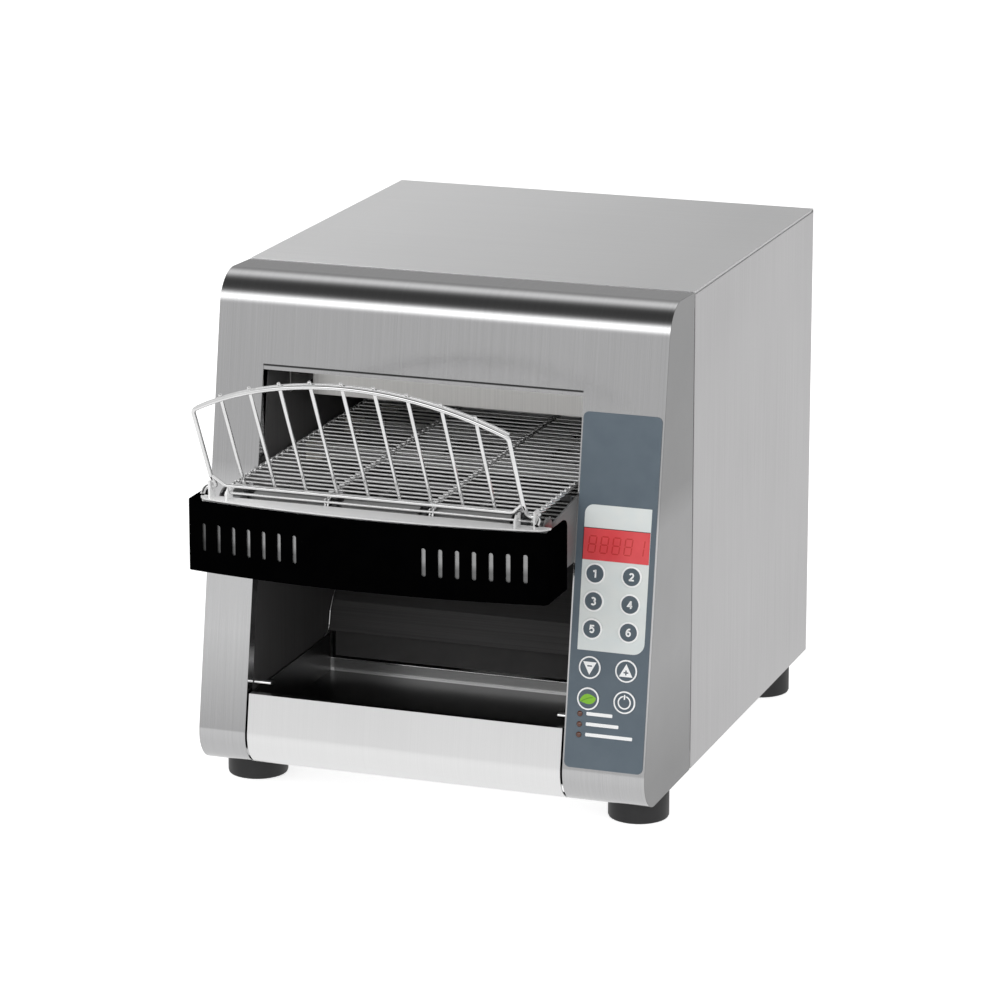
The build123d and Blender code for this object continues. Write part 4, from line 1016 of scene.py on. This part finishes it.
def makeKey(name, x, height):
    number = name[4:].isdigit()
    kind = "number" if number else "symbol"
    base = face["film"] + keys["gap"]
    top = base + keys["thickness"]
    cap = roundPiece(keys[kind + "Radius"], keys["thickness"], keys["capEdge"], onFace(x, height, base))
    settle(cap, name + "Cap", whitePrint, name, True)
    disc = roundPiece(keys[kind + "Film"], keys["filmThickness"], 0.0, onFace(x, height, top - 0.02))
    settle(disc, name + "Film", keyFilm, name)
    place = onFace(x, height, top + 0.05)
    above = onFace(x, height, top + 0.13)
    if number:
        settle(digit(name[4:], place), name + "Digit", whitePrint, name)
    elif name in ("key_down", "key_up"):
        tip = 1 if name == "key_up" else -1
        mark = flatShape([(u, v * tip) for u, v in keys["arrow"]][::tip], keys["print"], place)
        signPlace = above @ Matrix.Translation((0, -keys["signDrop"] * tip * mm, 0))
        long, wide = keys["signHalf"], keys["signWidth"]
        outlines = [barOutline(long, -wide, wide)] + ([barOutline(wide, -long, long)] if tip == 1 else [])
        bars = [flatShape(outline, keys["thinPrint"], signPlace) for outline in outlines]
        settle(joined(bars), name + "Sign", keyFilm, name)
        settle(mark, name + "Mark", whitePrint, name)
    elif name == "key_eco":
        settle(flatShape(leafOutline(*keys["leaf"]), keys["print"], place), name + "Leaf", leafPrint, name)
        settle(flatShape(veinOutline(), keys["veinPrint"], above), name + "Vein", veinPrint, name)
    else:
        settle(ringPiece(*keys["ring"], keys["ringThickness"], place), name + "Ring", whitePrint, name)
        gap = flatShape(barOutline(*keys["break"]), keys["breakPrint"], place)
        settle(gap, name + "Break", keyFilm, name)
        tick = flatShape(barOutline(*keys["tick"]), keys["print"], above)
        settle(tick, name + "Tick", whitePrint, name)


for index, name in enumerate(keys["names"]):
    makeKey("key_" + name, keys["columns"][index % 2], keys["rows"][index // 2])
print("stage: keys")

lamps = {"x": 130.0, "heights": (74.4, 66.4, 58.4), "radius": 2.0, "rim": 2.3, "base": 0.3, "dome": 0.7,
         "rimThickness": 0.25}


def makeLamps():
    places = [onFace(lamps["x"], z, face["film"]) for z in lamps["heights"]]
    domes = [roundPiece(lamps["radius"], lamps["base"], 0.0, place, lamps["dome"]) for place in places]
    settle(joined(domes), "lampDomes", lampLens, "indicator_lamps", True)
    rims = [ringPiece(lamps["rim"], lamps["radius"], lamps["rimThickness"], place) for place in places]
    settle(joined(rims), "lampRims", blackPlastic, "indicator_lamps")


makeLamps()
print("stage: lamps")


# floor, light and camera
studio = {
    "floorSize": 60.0, "floorGlow": 0.72, "tableEdge": (-1.05, -0.75), "tableShine": (0.64, 0.90),
    "skyStrength": 2.4, "skySide": 0.75, "skySideFrom": (0.5, 0.9),
    "keyPlace": (-1.6, -2.4, 3.4), "keySize": 2.6, "keyPower": 42.0,
    "fillPlace": (2.6, -2.0, 2.2), "fillSize": 2.6, "fillPower": 20.0, "lampAim": (0, 0, 0.2),
    "cameraPlace": (1.14754, -3.20937, 1.14661), "cameraTilt": 75.946, "cameraTurn": 19.576,
    "lens": 158.704, "sensor": 36.0, "cameraShift": -0.10,
}
# brightness of the surroundings from the back horizon (0) over the top (90) to the front horizon (180)
skyBands = (
    (0, 0.36), (12, 0.34), (24, 0.33), (36, 0.38), (46, 0.70), (56, 0.95), (66, 0.90), (76, 0.42),
    (86, 0.12), (96, 0.07), (106, 0.06), (118, 0.07), (128, 0.10), (137, 0.5), (146, 2.2), (156, 2.2),
    (164, 0.85), (171, 0.64), (178, 0.60),
)


def rayKind(tree, kind):  # 1 for rays of that kind, else 0
    return tree.nodes.new("ShaderNodeLightPath").outputs[kind]


def makeFloor():
    bpy.ops.mesh.primitive_plane_add(size=studio["floorSize"], location=(0, 0, 0))
    floor = bpy.context.object
    floor.name = "floor"
    m = Shader("floorPaper")
    m.link(m.tint(m.noise(2.0), grey(0.80), grey(0.83)), "Base Color")
    m.put("Roughness", 0.9)
    m.put("Specular IOR Level", 0.0)
    m.put("Emission Color", (1, 1, 1, 1))
    glow = mathNode(m.tree, "MULTIPLY", rayKind(m.tree, "Is Camera Ray"), studio["floorGlow"])
    m.link(glow, "Emission Strength")
    depth = m.along(0, 1, 0)  # polished sheets mirror the table in front and the darker room behind it
    shine = m.ramp(depth, *studio["tableShine"], *studio["tableEdge"])
    mirrored = madeNode(m.tree, "ShaderNodeEmission", {"Strength": shine})
    pick = madeNode(m.tree, "ShaderNodeMixShader", {"Fac": rayKind(m.tree, "Is Glossy Ray"),
                                                    1: m.surface.outputs["BSDF"], 2: mirrored.outputs[0]})
    m.tree.links.new(pick.outputs["Shader"], m.tree.nodes["Material Output"].inputs["Surface"])
    floor.data.materials.append(m.material)


def makeSky():
    world = bpy.data.worlds.new("studio")
    bpy.context.scene.world = world
    world.use_nodes = True
    tree = world.node_tree
    tree.nodes.clear()
    coords = tree.nodes.new("ShaderNodeTexCoord").outputs["Generated"]
    split = madeNode(tree, "ShaderNodeSeparateXYZ", {"Vector": coords}).outputs
    turn = mathNode(tree, "DIVIDE", mathNode(tree, "ARCTAN2", split["Z"], split["Y"]), math.pi)
    ramp = madeNode(tree, "ShaderNodeValToRGB", {"Fac": turn})
    ramp.color_ramp.interpolation = "B_SPLINE"
    stops = ramp.color_ramp.elements
    while len(stops) > 1:
        stops.remove(stops[-1])
    for index, (angle, value) in enumerate(skyBands):
        stop = stops[0] if index == 0 else stops.new(angle / 180)
        stop.position = angle / 180
        stop.color = (*grey(value / studio["skyStrength"]), 1)
    start, end = studio["skySideFrom"]
    side = madeNode(tree, "ShaderNodeMapRange", {"Value": mathNode(tree, "ABSOLUTE", split["X"]),
                                                 "From Min": start, "From Max": end},
                    interpolation_type="SMOOTHSTEP")
    sideColour = (*grey(studio["skySide"] / studio["skyStrength"]), 1)
    blend = madeNode(tree, "ShaderNodeMix", {"Factor": side.outputs["Result"], "A": ramp.outputs["Color"],
                                             "B": sideColour}, data_type="RGBA")
    light = madeNode(tree, "ShaderNodeBackground", {"Color": blend.outputs["Result"],
                                                    "Strength": studio["skyStrength"]})
    plain = madeNode(tree, "ShaderNodeBackground", {"Color": (1, 1, 1, 1)})
    pick = madeNode(tree, "ShaderNodeMixShader", {"Fac": rayKind(tree, "Is Camera Ray"),
                                                  1: light.outputs[0], 2: plain.outputs[0]})
    madeNode(tree, "ShaderNodeOutputWorld", {"Surface": pick.outputs["Shader"]})


def makeLamp(name, place, size, power):
    bpy.ops.object.light_add(type="AREA", location=place)
    lamp = bpy.context.object
    lamp.name = name
    lamp.data.size = size
    lamp.data.energy = power
    lamp.visible_glossy = False
    aim = Vector(studio["lampAim"]) - Vector(place)
    lamp.rotation_euler = aim.to_track_quat("-Z", "Y").to_euler()


def makeStudio():
    makeFloor()
    makeSky()
    for name in ("key", "fill"):
        makeLamp(name + "Lamp", studio[name + "Place"], studio[name + "Size"], studio[name + "Power"])
    bpy.ops.object.camera_add(location=studio["cameraPlace"])
    camera = bpy.context.object
    camera.rotation_euler = (math.radians(studio["cameraTilt"]), 0, math.radians(studio["cameraTurn"]))
    camera.data.lens = studio["lens"]
    camera.data.sensor_width = studio["sensor"]
    camera.data.shift_y = studio["cameraShift"]
    bpy.context.scene.camera = camera
    bpy.context.scene.view_settings.view_transform = "Standard"


makeStudio()
print("stage: floor, light and camera")
